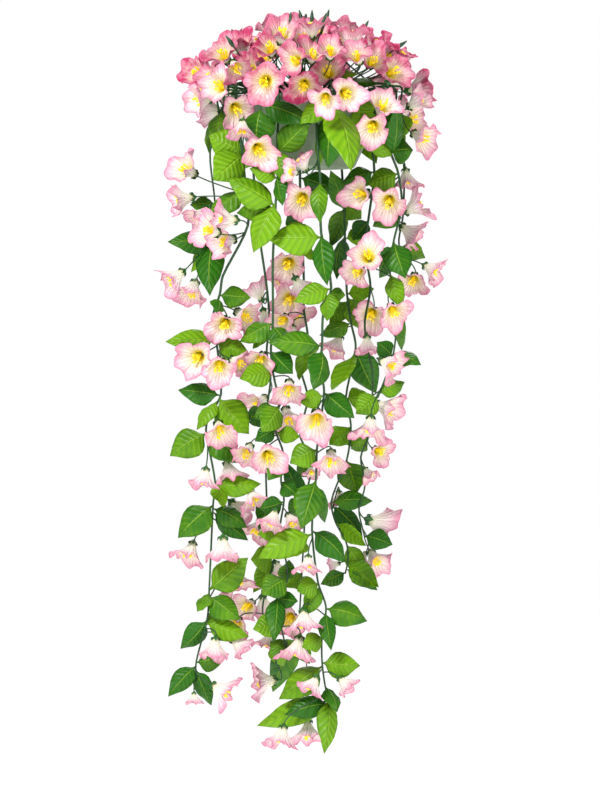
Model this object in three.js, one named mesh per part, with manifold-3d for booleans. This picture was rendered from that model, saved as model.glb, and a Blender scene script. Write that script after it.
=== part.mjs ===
// A petunia hanging basket: a plastic pot on three wires and a ring, filled with a dense
// head of pink trumpet blooms and with ten leafy vines that hang down over the pot's rim.
// Millimetres, +Z up. The origin is the seat inside the top of the ring; the front faces -Y.

import * as THREE from "three";
import { mergeVertices } from "three/addons/utils/BufferGeometryUtils.js";
import Module from "manifold-3d";

const wasm = await Module();
wasm.setup();

// The layout below is drawn on a front view: steps across from its left edge, and steps
// down from its top edge. Depths are in millimetres, negative towards the front.
const STEP = 1.25;
const AXIS_ACROSS = 306;
const SEAT_DOWN = 12;

// Pot, soil and hanger.
const POT_SIDES = 18;
const RIM_TOP = -104;
const POT_BOTTOM = -192;
const POT_TOP_RADIUS = 97.5;
const POT_BASE_RADIUS = 62;
const FLANGE_RADIUS = 106.5;
const FLANGE_THICKNESS = 3;
const POT_WALL = 2.4;
const SOIL_TOP = -112;
const STEM_FOOT = -150;
const FIT_GAP = 0.35;
const RING_RADIUS = 10;
const RING_WIRE_RADIUS = 1.5;
const RING_CENTRE = RING_WIRE_RADIUS - RING_RADIUS;
const LEG_RADIUS = 1.2;
const LEG_EYE_RADIUS = 102.4;
const LEG_FOOT = 9;
const LEG_AZIMUTHS = [20, 140, 260];
const LEG_SIDES = [1, -1, -1];
const LEG_SEATS = [0, 34, -34];
const HOOK_RADIUS = 3.1;

// Stems, leaves and blooms.
const STEM_RADIUS = 2.2;
const STEM_SIDES = 3;
const STALK_RADIUS = 1;
const STALK_SIDES = 3;
const MITRE_LEAN = 1.3;
const STALK_SPACING = 4;
const STALK_ROOM = 4;
const LEAF_THICKNESS = 0.9;
const LEAF_WIDTH = 37;
const LEAF_STATIONS = [[0.3, 0.47], [0.68, 0.4]];
const SMALL_LEAF_WIDTH = 30;
const SMALL_LEAF_STATIONS = [[0.42, 0.5]];
const LEAF_ARCH = 0.1;
const LEAF_FOLD = 0.36;
const LEAF_ROLL = 1.3;
const BLOOM_RADIUS = 20;
const BLOOM_DEPTH = 26;
const BLOOM_MIDDLE = 15;
const THROAT_SIDES = 5;
const THROAT_RADIUS = 6;
const THROAT_HEIGHT = 14;
const THROAT_SEEN = 60;
const PETAL_THICKNESS = 1.1;
const LOBES = 5;
const LOBE_CUT = 0.15;
const LOBE_WAVE = 2.4;
const BUD_RADIUS = 2.7;
const BUD_BELLY = 6;
const BUD_LENGTH = 19;

// The head is a dome over the pot, and its stems part from a point above the soil.
const DOME_ACROSS = 308;
const DOME_DOWN = 112;
const DOME_HALF_WIDTH = 124;
const DOME_HEIGHT = 98;
const DOME_DEPTH = 124;
const BACK_SHARE = 0.95;
const HEAD_CORE = new THREE.Vector3(0, 0, -104);

// The hook's room stays free: the front of the head stays this far in front of the ring's
// middle, and the back of the head as far behind it.
const HOOK_ROOM = { halfDeep: 6, low: -95, high: 40, reach: 300 };
const FORK_SHARE = 0.56;
const FORK_LOWEST = -94;
const ROOT_SHARE = 0.56;
const CREST_SHARE = 1;
const CREST_HEIGHT = -90;

// A leaf or bloom that would meet another plant moves back or forth to the first free depth.
const CLEARANCE = 0.35;
const DEPTH_SHIFTS = [0, -6, 6, -12, 12, -18, 18, -25, 25, -32, 32, -40, 40, -50, 50];

// Each stop of a vine is [across, down, depth, leaves, blooms]. A leaf is [across and down
// of its tip, width]; a bloom is [across and down of its middle, heading in the front view,
// how far it turns to the front, size]. Angles are in degrees.
const VINES = {
  vine_far_left: [
    [218, 112, 8],
    [209, 150, 8],
    [214, 200, 0, [[189, 203, 22]]],
    [213, 243, -6, [[167, 241, 30], [210, 296, 36], [190, 271, 26]],
      [[176, 277, -140, 15], [191, 287, -110, 25]]],
  ],
  vine_left: [
    [238, 112, -72],
    [242, 150, -80, [[209, 136, 40], [214, 182, 46]], [[243, 130, -95, 15, 0.8]]],
    [246, 190, -82, [[206, 217, 30]],
      [[188, 170, 150, 35, 1.05], [184, 199, -170, 10], [203, 215, -130, 15]]],
    [248, 226, -78, [], [[228, 221, 178, 12], [227, 241, 195, 35], [212, 233, 165, 35]]],
    [223, 276, -68],
    [220, 294, -66, [[251, 298, 28], [217, 314, 22]], [[225, 324, -110, 60], [243, 315, -30, 35]]],
    [213, 316, -62],
    [216, 338, -60, [[166, 342, 30], [250, 355, 30]],
      [[198, 357, -150, 65, 1.1], [220, 366, -95, 50], [237, 362, -25, 30, 0.85]]],
    [221, 394, -58, [[178, 390, 30], [249, 434, 44], [197, 430, 22]], [[220, 429, -75, 40]]],
    [208, 418, -54],
    [206, 432, -52, [[170, 456, 40], [241, 463, 38]],
      [[205, 476, -100, 5, 0.85], [229, 471, -75, 12]]],
    [215, 482, -50, [[224, 508, 22], [261, 484, 28]],
      [[253, 497, -65, 20, 0.9], [237, 508, -40, -20]]],
    [213, 504, -50, [[178, 538, 40], [247, 528, 30], [248, 541, 24]],
      [[190, 551, -110, 18, 0.95], [223, 547, -90, 5, 1.05]]],
    [209, 589, -44, [[248, 558, 40], [197, 612, 22], [240, 620, 34]], [[237, 580, -75, 18]]],
    [207, 619, -42, [[180, 650, 28], [249, 637, 28], [227, 611, 22]],
      [[215, 647, -95, 8, 0.95], [238, 645, -40, 5, 0.8]]],
    [196, 662, -38, [[224, 661, 28], [168, 697, 26], [211, 707, 24]], [[220, 690, -30, 5]]],
    [195, 682, -38, [], [[194, 698, -88, 0, 0.5]]],
  ],
  vine_left_front: [
    [279, 112, -107],
    [277, 150, -110, [[285, 186, 24], [310, 123, 34]], [[259, 152, -60, 60, 1.1]]],
    [278, 176, -110, [[283, 208, 22], [250, 171, 24]]],
    [276, 203, -106, [[254, 254, 38], [228, 180, 40], [237, 214, 30]]],
    [273, 262, -94],
    [273, 322, -86, [[240, 342, 30], [286, 345, 28]]],
    [271, 350, -82, [[293, 374, 30]], [[261, 359, -110, 50, 0.85]]],
    [273, 372, -80, [[240, 379, 32]], [[289, 388, -95, 40, 0.95]]],
    [279, 404, -76, [[262, 432, 34], [254, 418, 26]], [[287, 416, -78, 28]]],
    [275, 428, -74, [[255, 441, 22], [300, 437, 22]],
      [[248, 451, -110, 38, 0.9], [268, 456, -65, 62]]],
    [283, 452, -72, [[248, 464, 26], [268, 480, 26]]],
    [281, 480, -70, [[297, 494, 26]]],
    [284, 500, -68, [[259, 509, 24]], [[273, 518, -108, 18, 0.9], [291, 520, -60, 25, 0.8]]],
    [280, 530, -66, [[258, 534, 22]]],
    [288, 578, -62, [[262, 594, 34], [289, 560, 26]]],
    [277, 594, -60, [[274, 641, 26], [298, 601, 22]], [[290, 619, -120, 60, 0.95]]],
    [280, 622, -58, [[253, 629, 30]], [[298, 646, -100, 8, 1.05]]],
    [288, 655, -56, [[270, 642, 30]]],
  ],
  vine_left_back: [
    [250, 112, 86],
    [252, 160, 84, [[226, 140, 36]]],
    [256, 215, 78],
    [266, 284, 68, [], [[258, 292, 120, -20, 0.8], [264, 314, -75, -15, 0.8]]],
    [269, 322, 62, [[252, 348, 24]]],
    [266, 350, 60],
    [270, 378, 56, [], [[259, 402, -140, 30, 0.95]]],
    [266, 412, 52, [[244, 420, 30]]],
    [266, 498, 44, [[258, 532, 24]], [[256, 530, -120, 20, 0.9]]],
    [274, 558, 40, [[250, 562, 36], [252, 597, 26]], [[278, 571, -70, 0, 0.7]]],
    [266, 590, 38, [], [[247, 609, -150, 48, 0.9], [263, 608, -80, -15, 0.9]]],
    [262, 616, 38, [], [[236, 626, -115, 50, 0.85]]],
    [272, 640, 36, [[284, 672, 30]], [[267, 645, -110, 5, 0.75]]],
    [276, 670, 36, [], [[266, 686, 185, 5, 1.05]]],
  ],
  vine_centre_front: [
    [316, 112, -112],
    [318, 160, -114, [], [[303, 167, 115, 10, 0.75], [293, 175, 170, 40, 0.6]]],
    [320, 182, -112, [[320, 226, 22]], [[302, 200, -110, 62, 1.05], [290, 187, 160, 30, 0.7]]],
    [321, 234, -106, [[327, 287, 28], [268, 240, 42]]],
    [331, 288, -100, [[294, 303, 28], [327, 322, 26], [345, 296, 22]]],
    [323, 315, -96],
    [322, 345, -92, [[268, 343, 32], [313, 390, 34]]],
    [320, 368, -90],
    [324, 391, -86, [[354, 418, 32], [299, 402, 26]], [[316, 419, -98, 48, 1.15]]],
    [317, 448, -82, [[290, 463, 34]], [[331, 458, -90, 32, 0.95]]],
    [316, 478, -80, [[301, 528, 38], [325, 523, 22]]],
    [312, 529, -76, [[346, 562, 34], [258, 558, 36]], [[308, 562, -92, 12, 0.75]]],
    [318, 582, -72, [[297, 590, 30], [306, 615, 24]]],
    [326, 607, -70, [[367, 621, 36], [331, 649, 22]], [[304, 618, -85, 5, 0.95]]],
    [322, 635, -68, [[302, 646, 26]]],
    [322, 661, -66, [[360, 665, 34], [279, 699, 40]],
      [[313, 682, -120, 5, 0.8], [344, 682, -45, 5, 0.75]]],
    [325, 685, -64, [[337, 711, 24]]],
    [330, 705, -62, [[285, 714, 28], [257, 727, 34], [324, 752, 28]],
      [[282, 733, -100, 8, 0.95], [308, 731, -88, 12]]],
  ],
  vine_centre_back: [
    [301, 112, 112],
    [300, 170, 108, [[340, 186, 30]]],
    [301, 215, 104, [[285, 219, 34]]],
    [303, 250, 100, [[312, 244, 26]], [[288, 260, -105, 62, 1.1], [282, 275, -130, 35, 0.8]]],
    [304, 282, 96, [], [[289, 296, -120, 62, 1.05], [298, 281, -60, -25, 0.8]]],
    [304, 308, 92, [],
      [[296, 311, -60, 58, 0.9], [283, 318, -130, 48, 0.8], [292, 330, -95, 10, 0.7]]],
    [308, 338, 88, [[312, 357, 26], [299, 380, 26]]],
    [300, 364, 86],
    [308, 398, 82],
    [300, 436, 80],
    [312, 462, 76, [[298, 478, 28]], [[311, 472, -80, 30, 0.5]]],
    [306, 500, 74, [[290, 520, 30], [284, 462, 24]]],
    [304, 540, 70, [[290, 560, 30]]],
    [302, 575, 66, [[286, 592, 28]]],
    [298, 648, 58, [[276, 664, 26], [310, 668, 26], [272, 700, 34]], [[305, 690, -100, 10, 0.8]]],
  ],
  vine_right_front: [
    [386, 112, -52],
    [390, 150, -58, [[413, 150, 34], [395, 104, 26], [364, 134, 26]]],
    [398, 172, -58, [[367, 184, 36]], [[362, 194, 185, 45], [389, 201, -105, 62, 1.05]]],
    [402, 206, -56, [[373, 226, 30]]],
    [394, 240, -54, [[405, 279, 36], [380, 277, 30]], [[368, 257, 110, 68, 1.05]]],
    [390, 272, -50, [[402, 308, 24]], [[358, 271, -140, 50, 0.85], [393, 311, -60, 50, 0.95]]],
    [397, 300, -46, [[403, 350, 22]]],
    [394, 352, -42, [[421, 365, 24], [377, 342, 24]], [[388, 364, -25, 25, 0.95]]],
    [378, 398, -38, [[356, 414, 32], [405, 382, 24]], [[386, 408, -20, 18, 1.1], [370, 426, -95, 18]]],
  ],
  vine_right_inner: [
    [370, 112, 76],
    [376, 165, 76, [[343, 178, 30]]],
    [370, 215, 72, [[354, 236, 26]]],
    [366, 245, 70],
    [372, 284, 66, [], [[373, 312, -115, 60, 1.05]]],
    [366, 320, 48],
    [368, 345, 36, [], [[368, 343, -90, 5, 0.8]]],
    [374, 375, 34],
    [370, 436, 42, [[352, 450, 28]], [[380, 452, -25, 50, 0.8]]],
    [362, 458, 52, [], [[369, 474, -60, 20, 0.6]]],
    [366, 488, 50],
    [360, 512, 48, [], [[378, 525, -20, -25, 1.15]]],
    [366, 540, 46, [[394, 547, 28]], [[376, 562, -60, 30], [365, 560, -120, 10, 0.5]]],
  ],
  vine_right_back: [
    [340, 112, 102],
    [345, 198, 96, [[363, 214, 28], [331, 243, 26], [331, 165, 26]]],
    [346, 230, 92, [[338, 276, 26], [374, 228, 24]]],
    [348, 290, 84, [[376, 286, 26], [366, 329, 34], [330, 322, 24]]],
    [352, 320, 80, [[320, 334, 24]], [[338, 342, -115, 12, 0.9]]],
    [357, 346, 76, [[378, 393, 38], [332, 390, 36]]],
    [347, 397, 70, [[372, 396, 30]]],
    [352, 426, 66, [[330, 446, 34], [362, 448, 28]]],
    [348, 460, 62, [[358, 496, 38]]],
    [332, 503, 56, [[374, 503, 26], [364, 541, 28]], [[340, 500, -90, 5, 0.7]]],
    [336, 524, 54, [[367, 548, 24]]],
    [347, 545, 50, [[368, 580, 26]]],
    [349, 562, 48, [[380, 590, 30]], [[336, 568, -160, -10, 0.5]]],
    [346, 577, 46, [[321, 588, 22], [379, 594, 24]]],
  ],
  vine_far_right: [
    [395, 112, 16],
    [405, 160, 10, [], [[407, 176, -85, 5, 0.9]]],
    [404, 215, 6, [], [[414, 206, 30, 5], [410, 230, -35, 8]]],
    [400, 243, 2, [[427, 256, 24]]],
    [412, 262, 0, [], [[414, 279, -110, 48, 0.9], [432, 268, -30, 15, 0.85]]],
  ],
  shoot_left: [
    [224, 103, -58],
    [222, 112, -64, [[216, 146, 34]],
      [[203, 101, 190, 25], [221, 88, 160, 58], [236, 110, -60, 60]]],
  ],
  shoot_front_left: [
    [262, 102, -106],
    [261, 112, -110, [[256, 150, 44], [312, 128, 32]]],
  ],
  shoot_front: [
    [333, 102, -114],
    [333, 112, -118, [[328, 170, 44], [350, 176, 46], [300, 128, 30], [317, 172, 24]],
      [[345, 97, -30, 66], [325, 104, -100, 55, 0.9]]],
  ],
  shoot_right: [
    [382, 102, -72],
    [384, 112, -76, [[400, 116, 26], [357, 152, 38], [347, 128, 32]],
      [[372, 129, -105, 58, 1.05], [381, 110, 60, 45]]],
  ],
  shoot_far_right: [
    [401, 102, -14],
    [403, 112, -14, [[404, 136, 26]],
      [[416, 101, 35, 18, 0.95], [412, 117, 5, 42, 0.9], [420, 137, -30, 32]]],
  ],
};

// Each spray of the head is [blooms, leaves, buds]; a bud is [across and down of its tip].
// A bud stands as far forward as the dome is a little further down.
const BUD_FORWARD = 18;
const HEAD_SPRAYS = [
  [[[198, 72, 150, 35], [224, 57, 120, 45], [213, 78, 140, 35, 0.85],
    [206, 92, 175, 35, 0.85]], [], [[201, 50], [226, 38]]],
  [[[251, 71, 150, 55, 0.9], [266, 87, -120, 74, 1.15], [264, 60, 95, 42], [236, 70, -60, 40, 0.85]],
    [], []],
  [[[241, 47, 110, 25], [259, 44, 100, 20], [282, 40, 85, 40], [271, 52, 100, 50, 0.95],
    [289, 35, 92, 10, 0.8]], [], [[265, 26], [291, 16]]],
  [[[303, 43, 95, 35, 0.9], [320, 37, 85, 20], [313, 34, 90, 8, 0.85], [337, 46, 80, 30, 0.85]],
    [],
    [[299, 10], [312, 13], [326, 16], [329, 13]]],
  [[[296, 66, 170, 58, 0.9], [304, 88, -100, 68], [312, 60, 80, 45, 0.9]], [[289, 58, 22]], [[301, 42]]],
  [[[328, 74, 110, 66, 1.05], [330, 58, 85, 45, 0.85], [343, 52, 70, 40, 0.85]], [[341, 54, 20]], []],
  [[[350, 44, 85, 2], [375, 48, 55, 8], [372, 63, 50, 55, 0.9], [357, 62, 110, 45, 0.85]],
    [[358, 78, 22]], [[369, 19]]],
  [[[392, 72, 20, 55], [402, 56, 60, 12, 0.7], [388, 57, 60, 35, 0.75]], [[377, 86, 24]], [[408, 38]]],
];

// The back of the head follows a rule. Sprays at even azimuths bear a bloom at each rise up
// the dome, and shoots between the vines bear a bloom and two leaves outside the pot.
const BACK_SPRAY_AZIMUTHS = [22, 62, 104, 146];
const BACK_SPRAY_TIERS = [
  [18, -10, 1.05], [24, 13, 1], [44, -12, 1], [48, 12, 0.95], [68, 2, 0.85],
];
const BACK_SHOOT_AZIMUTHS = [26, 56, 80, 111, 152];
const BACK_SHOOT_RADIUS = 117;
const BACK_SHOOT_HEIGHT = -104;
const BACK_SHOOT_BLOOM = [132, -118];
const BACK_SHOOT_LEAVES = [[-11, 128, -182], [10, 131, -168]];

// Colours.
const FOLIAGE_COLOUR = 0x4f9a22;
const PETAL_COLOUR = 0xe58fb4;
const POT_COLOUR = 0x8a9a80;
const SOIL_COLOUR = 0x3b2a1c;
const WIRE_COLOUR = 0x2f4a34;

const rad = THREE.MathUtils.degToRad;
const UP_LOCAL = new THREE.Vector3(0, 1, 0);

// A repeatable, evenly spread fraction for the i-th leaf or bloom of a plant.
const spread = (i) => (i * 0.618034 + 0.31) % 1;

const onDrawing = (across, down, depth) =>
  new THREE.Vector3((across - AXIS_ACROSS) * STEP, depth, (SEAT_DOWN - down) * STEP);

const polar = (azimuth, radius, z) =>
  new THREE.Vector3(radius * Math.cos(rad(azimuth)), radius * Math.sin(rad(azimuth)), z);

// ---- solids -------------------------------------------------------------------------

function toSolid(geometry) {
  const bare = geometry.index ? geometry.toNonIndexed() : geometry.clone();
  bare.deleteAttribute("normal");
  bare.deleteAttribute("uv");
  const merged = mergeVertices(bare, 1e-3);
  const mesh = new wasm.Mesh({
    numProp: 3,
    vertProperties: Float32Array.from(merged.attributes.position.array),
    triVerts: Uint32Array.from(merged.index.array),
  });
  return new wasm.Manifold(mesh);
}

function toGeometry(solid) {
  const mesh = solid.getMesh();
  const geometry = new THREE.BufferGeometry();
  geometry.setAttribute("position", new THREE.BufferAttribute(mesh.vertProperties, 3));
  geometry.setIndex(new THREE.BufferAttribute(mesh.triVerts, 1));
  geometry.computeVertexNormals();
  return geometry;
}

// A path with one section at each of its stops. Each bend is mitred, so that the faces
// between two stops are flat.
class StopPath extends THREE.Curve {
  constructor(stops) {
    super();
    this.stops = stops;
    this.ways = stops.slice(1).map((stop, i) => stop.clone().sub(stops[i]).normalize());
  }

  getPoint(t) {
    const place = Math.min(t, 1) * (this.stops.length - 1);
    const i = Math.min(Math.floor(place), this.stops.length - 2);
    return this.stops[i].clone().lerp(this.stops[i + 1], place - i);
  }

  getUtoTmapping(u) {
    return u;
  }

  computeFrenetFrames() {
    const [first] = this.ways;
    const side = new THREE.Vector3(first.y, first.z, first.x).cross(first).normalize();
    const normals = [side];
    const binormals = [first.clone().cross(side)];
    const tangents = [first];
    this.ways.forEach((way, i) => {
      const mitre = way.clone().add(this.ways[i + 1] ?? way).normalize();
      normals.push(slid(normals[i], way, mitre));
      binormals.push(slid(binormals[i], way, mitre));
      tangents.push(mitre);
    });
    return { tangents, normals, binormals };
  }
}

// A vector slid along a way until it is square to a mitre.
const slid = (vector, way, mitre) =>
  vector.clone().addScaledVector(way, -vector.dot(mitre) / way.dot(mitre));

function tube(stops, radius, sides) {
  const section = new THREE.Shape();
  for (let i = 0; i < sides; i++) {
    const angle = (2 * Math.PI * (i + 0.5)) / sides;
    const [x, y] = [radius * Math.cos(angle), radius * Math.sin(angle)];
    if (i === 0) section.moveTo(x, y);
    else section.lineTo(x, y);
  }
  const options = { steps: stops.length - 1, extrudePath: new StopPath(stops), curveSegments: 1 };
  return toSolid(new THREE.ExtrudeGeometry(section, options));
}

function turned(profile, sides) {
  return new THREE.LatheGeometry(profile.map(([r, h]) => new THREE.Vector2(r, h)), sides);
}

// ---- pot, soil, ring and wires --------------------------------------------------------

// The pot's axis is upright, so its lathe is tipped from +Y to +Z.
const upright = (geometry) => geometry.rotateX(Math.PI / 2);

function potSolid() {
  const flangeUnder = RIM_TOP - FLANGE_THICKNESS;
  const floor = POT_BOTTOM + POT_WALL;
  const pot = toSolid(upright(turned([
    [0, POT_BOTTOM], [POT_BASE_RADIUS, POT_BOTTOM], [POT_TOP_RADIUS, flangeUnder],
    [FLANGE_RADIUS, flangeUnder], [FLANGE_RADIUS, RIM_TOP], [POT_TOP_RADIUS - POT_WALL, RIM_TOP],
    [POT_BASE_RADIUS - POT_WALL, floor], [0, floor],
  ], POT_SIDES)));
  return LEG_AZIMUTHS.reduce((body, azimuth) => {
    const eye = [flangeUnder - 2, RIM_TOP + 2].map((z) => polar(azimuth, LEG_EYE_RADIUS, z));
    return body.subtract(tube(eye, LEG_RADIUS + 2 * FIT_GAP, 4));
  }, pot);
}

// The soil follows the inside of the pot's wall.
function soilRadius(z) {
  const floor = POT_BOTTOM + POT_WALL;
  const share = (z - floor) / (RIM_TOP - floor);
  return POT_BASE_RADIUS - POT_WALL + share * (POT_TOP_RADIUS - POT_BASE_RADIUS) - 1.5 * FIT_GAP;
}

function soilSolid(roots) {
  const bottom = POT_BOTTOM + POT_WALL + FIT_GAP;
  const soil = toSolid(upright(turned([
    [0, bottom], [soilRadius(bottom), bottom], [soilRadius(SOIL_TOP), SOIL_TOP], [0, SOIL_TOP],
  ], POT_SIDES)));
  return roots.reduce((body, root) => {
    const hole = [root.clone().setZ(STEM_FOOT - FIT_GAP), root.clone().setZ(SOIL_TOP + 3)];
    return body.subtract(tube(hole, STEM_RADIUS + 2 * FIT_GAP, STEM_SIDES));
  }, soil);
}

function ringSolid() {
  const ring = new THREE.TorusGeometry(RING_RADIUS, RING_WIRE_RADIUS, 6, 12);
  return toSolid(ring.rotateY(Math.PI / 2).translate(0, 0, RING_CENTRE));
}

// A leg hooks over the bottom of the ring, runs down to the flange, passes through its eye
// and turns along under it.
function legStops(azimuth, side, seat) {
  const out = new THREE.Vector3(0, Math.sin(rad(seat)), -Math.cos(rad(seat)));
  const over = out.clone().multiplyScalar(RING_RADIUS).setZ(RING_CENTRE + out.z * RING_RADIUS);
  const stops = [];
  for (let angle = 210; angle >= 0; angle -= 42) {
    const hook = out.clone().multiplyScalar(-HOOK_RADIUS * Math.sin(rad(angle)));
    hook.x = side * HOOK_RADIUS * Math.cos(rad(angle));
    stops.push(over.clone().add(hook));
  }
  const under = RIM_TOP - FLANGE_THICKNESS - FIT_GAP - LEG_RADIUS;
  const foot = polar(azimuth, LEG_EYE_RADIUS, under);
  const along = polar(azimuth + 90, LEG_FOOT, 0);
  stops.push(polar(azimuth, LEG_EYE_RADIUS, RIM_TOP + 9), foot.clone().setZ(under + 1.5));
  stops.push(foot.clone().addScaledVector(along, 0.18), foot.clone().add(along));
  return stops;
}

// ---- leaves, blooms and buds ----------------------------------------------------------

// The band of triangles from a ring to the next one, which may have another count of points.
function band(from, to) {
  const triangles = [];
  let [i, j] = [0, 0];
  while (i < from.length || j < to.length) {
    const [near, far] = [from[i % from.length], to[j % to.length]];
    const stepFrom = i < from.length && (i + 1) * to.length <= (j + 1) * from.length;
    if (stepFrom) i += 1;
    else j += 1;
    const third = stepFrom ? from[i % from.length] : to[j % to.length];
    if (third !== near && third !== far) triangles.push([near, third, far]);
  }
  return triangles;
}

// Joins rings of points, each counter-clockwise seen from ahead, into one closed skin.
function loftSolid(rings) {
  const triangles = rings.slice(1).flatMap((next, k) => band(rings[k], next));
  const [first] = rings;
  for (let i = 2; i < first.length; i++) triangles.push([first[0], first[i], first[i - 1]]);
  return skinSolid(triangles);
}

function skinSolid(triangles) {
  const points = triangles.flat().flatMap((point) => point.toArray());
  const geometry = new THREE.BufferGeometry();
  geometry.setAttribute("position", new THREE.Float32BufferAttribute(points, 3));
  return toSolid(geometry);
}

// Points round the +Y axis of a frame, at a radius and height given for each angle.
function ring(count, centre, frame, shape) {
  return Array.from({ length: count }, (_, i) => {
    const angle = (2 * Math.PI * i) / count;
    const [radius, height] = shape(angle);
    const point = new THREE.Vector3(radius * Math.sin(angle), height, radius * Math.cos(angle));
    return point.applyQuaternion(frame).add(centre);
  });
}

function frameAlong(heading, roll) {
  const turn = new THREE.Quaternion().setFromUnitVectors(UP_LOCAL, heading);
  return turn.multiply(new THREE.Quaternion().setFromAxisAngle(UP_LOCAL, roll));
}

// The two ends of a stalk, the far one cut on the mitre of its turn to a heading.
function stalkRings(base, foot, heading, frame, pad, room) {
  const along = foot.clone().sub(base);
  const skip = Math.min(room, along.length() / 2);
  along.normalize();
  const straight = new THREE.Quaternion().setFromUnitVectors(heading, along).multiply(frame);
  const section = ring(STALK_SIDES, new THREE.Vector3(), straight, () => [STALK_RADIUS + pad, 0]);
  const mitre = along.clone().multiplyScalar(MITRE_LEAN).add(heading);
  const start = base.clone().addScaledVector(along, skip);
  return [
    section.map((point) => point.clone().add(start)),
    section.map((point) => slid(point, along, mitre).add(foot)),
  ];
}

// A trumpet with five waved lobes, on the stalk that carries it. One that faces the front
// shows its narrow throat and has a thick lip; any other is a cone that thins to its lip.
function bloomSolid(bloom, shift, pad, room) {
  const frame = frameAlong(bloom.heading, bloom.roll);
  const foot = bloom.middle.clone().addScaledVector(bloom.heading, -BLOOM_MIDDLE * bloom.size);
  foot.y += shift;
  const lip = (lift) => (angle) => {
    const lobe = Math.cos(LOBES * angle);
    const radius = (BLOOM_RADIUS * bloom.size + pad) * (1 + LOBE_CUT * lobe);
    return [radius, BLOOM_DEPTH * bloom.size - LOBE_WAVE * lobe + lift];
  };
  const throat = () => [THROAT_RADIUS * bloom.size + pad, THROAT_HEIGHT * bloom.size - pad];
  const seen = -bloom.heading.y > Math.sin(rad(THROAT_SEEN));
  return loftSolid([
    ...stalkRings(bloom.base, foot, bloom.heading, frame, pad, room),
    ...(seen ? [ring(THROAT_SIDES, foot, frame, throat)] : []),
    ...(seen ? [ring(2 * LOBES, foot, frame, lip(-pad))] : []),
    ring(2 * LOBES, foot, frame, lip(PETAL_THICKNESS + pad)),
    ring(1, foot, frame, () => [0, THROAT_HEIGHT * bloom.size - 3]),
  ]);
}

// A closed bud, a spindle on its stalk.
function budSolid(bud, shift, pad, room) {
  const heading = bud.tip.clone().sub(bud.base).setY(0).normalize();
  const frame = frameAlong(heading, 0);
  const foot = bud.tip.clone().addScaledVector(heading, -BUD_LENGTH);
  foot.y += shift;
  return loftSolid([
    ...stalkRings(bud.base, foot, heading, frame, pad, room),
    ring(5, foot, frame, () => [BUD_RADIUS + pad, BUD_BELLY]),
    ring(1, foot, frame, () => [0, BUD_LENGTH + pad]),
  ]);
}

// A blade from base to tip, one thickness all over, that arches towards its face and folds
// along its midrib. Its two faces are split alike.
function leafSolid(leaf, shift, pad, room) {
  const tip = leaf.tip.clone();
  tip.y += shift;
  const along = tip.clone().sub(leaf.base);
  const length = along.length() - room;
  along.normalize();
  const base = leaf.base.clone().addScaledVector(along, room);
  const normal = leaf.face.clone().addScaledVector(along, -leaf.face.dot(along)).normalize();
  const across = normal.clone().cross(along);
  const stations = leaf.width < SMALL_LEAF_WIDTH ? SMALL_LEAF_STATIONS : LEAF_STATIONS;
  const rows = [[0, 0], ...stations, [1, 0]].map(([u, share]) => {
    const rise = LEAF_ARCH * length * 4 * u * (1 - u);
    const mid = base.clone().addScaledVector(along, length * u).addScaledVector(normal, rise);
    if (share === 0) return [mid];
    const side = across.clone().multiplyScalar(leaf.width * share + pad);
    const drop = normal.clone().multiplyScalar(-LEAF_FOLD * leaf.width * share);
    return [mid.clone().sub(side).add(drop), mid, mid.clone().add(side).add(drop)];
  });
  return bladeSolid(rows, normal.multiplyScalar(LEAF_THICKNESS / 2 + pad));
}

function bladeSolid(rows, offset) {
  const cells = [];
  rows.slice(1).forEach((next, k) => {
    const row = rows[k];
    if (row.length === 1) cells.push([row[0], next[0], next[1]], [row[0], next[1], next[2]]);
    else if (next.length === 1) cells.push([row[0], next[0], row[1]], [row[1], next[0], row[2]]);
    else {
      cells.push([row[0], next[0], next[1]], [row[0], next[1], row[1]]);
      cells.push([row[1], next[1], next[2]], [row[1], next[2], row[2]]);
    }
  });
  const upper = (point) => point.clone().add(offset);
  const lower = (point) => point.clone().sub(offset);
  const faces = cells.flatMap((cell) => [cell.map(upper), cell.map(lower).reverse()]);
  const inner = rows.slice(1, -1);
  const right = inner.map((row) => row[2]).reverse();
  const edge = [rows[0][0], ...inner.map((row) => row[0]), rows.at(-1)[0], ...right];
  edge.forEach((point, i) => {
    const next = edge[(i + 1) % edge.length];
    faces.push([upper(point), lower(point), lower(next)], [upper(point), lower(next), upper(next)]);
  });
  return skinSolid(faces);
}

// ---- the plants' layout -----------------------------------------------------------------

const headingOf = (angle, front) => new THREE.Vector3(
  Math.cos(rad(angle)) * Math.cos(rad(front)),
  -Math.sin(rad(front)),
  Math.sin(rad(angle)) * Math.cos(rad(front)),
);

function domeDepth(across, down) {
  const x = (across - DOME_ACROSS) / DOME_HALF_WIDTH;
  const z = Math.max(0, DOME_DOWN - down) / DOME_HEIGHT;
  return -DOME_DEPTH * Math.sqrt(Math.max(0, 1 - x * x - z * z));
}

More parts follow.
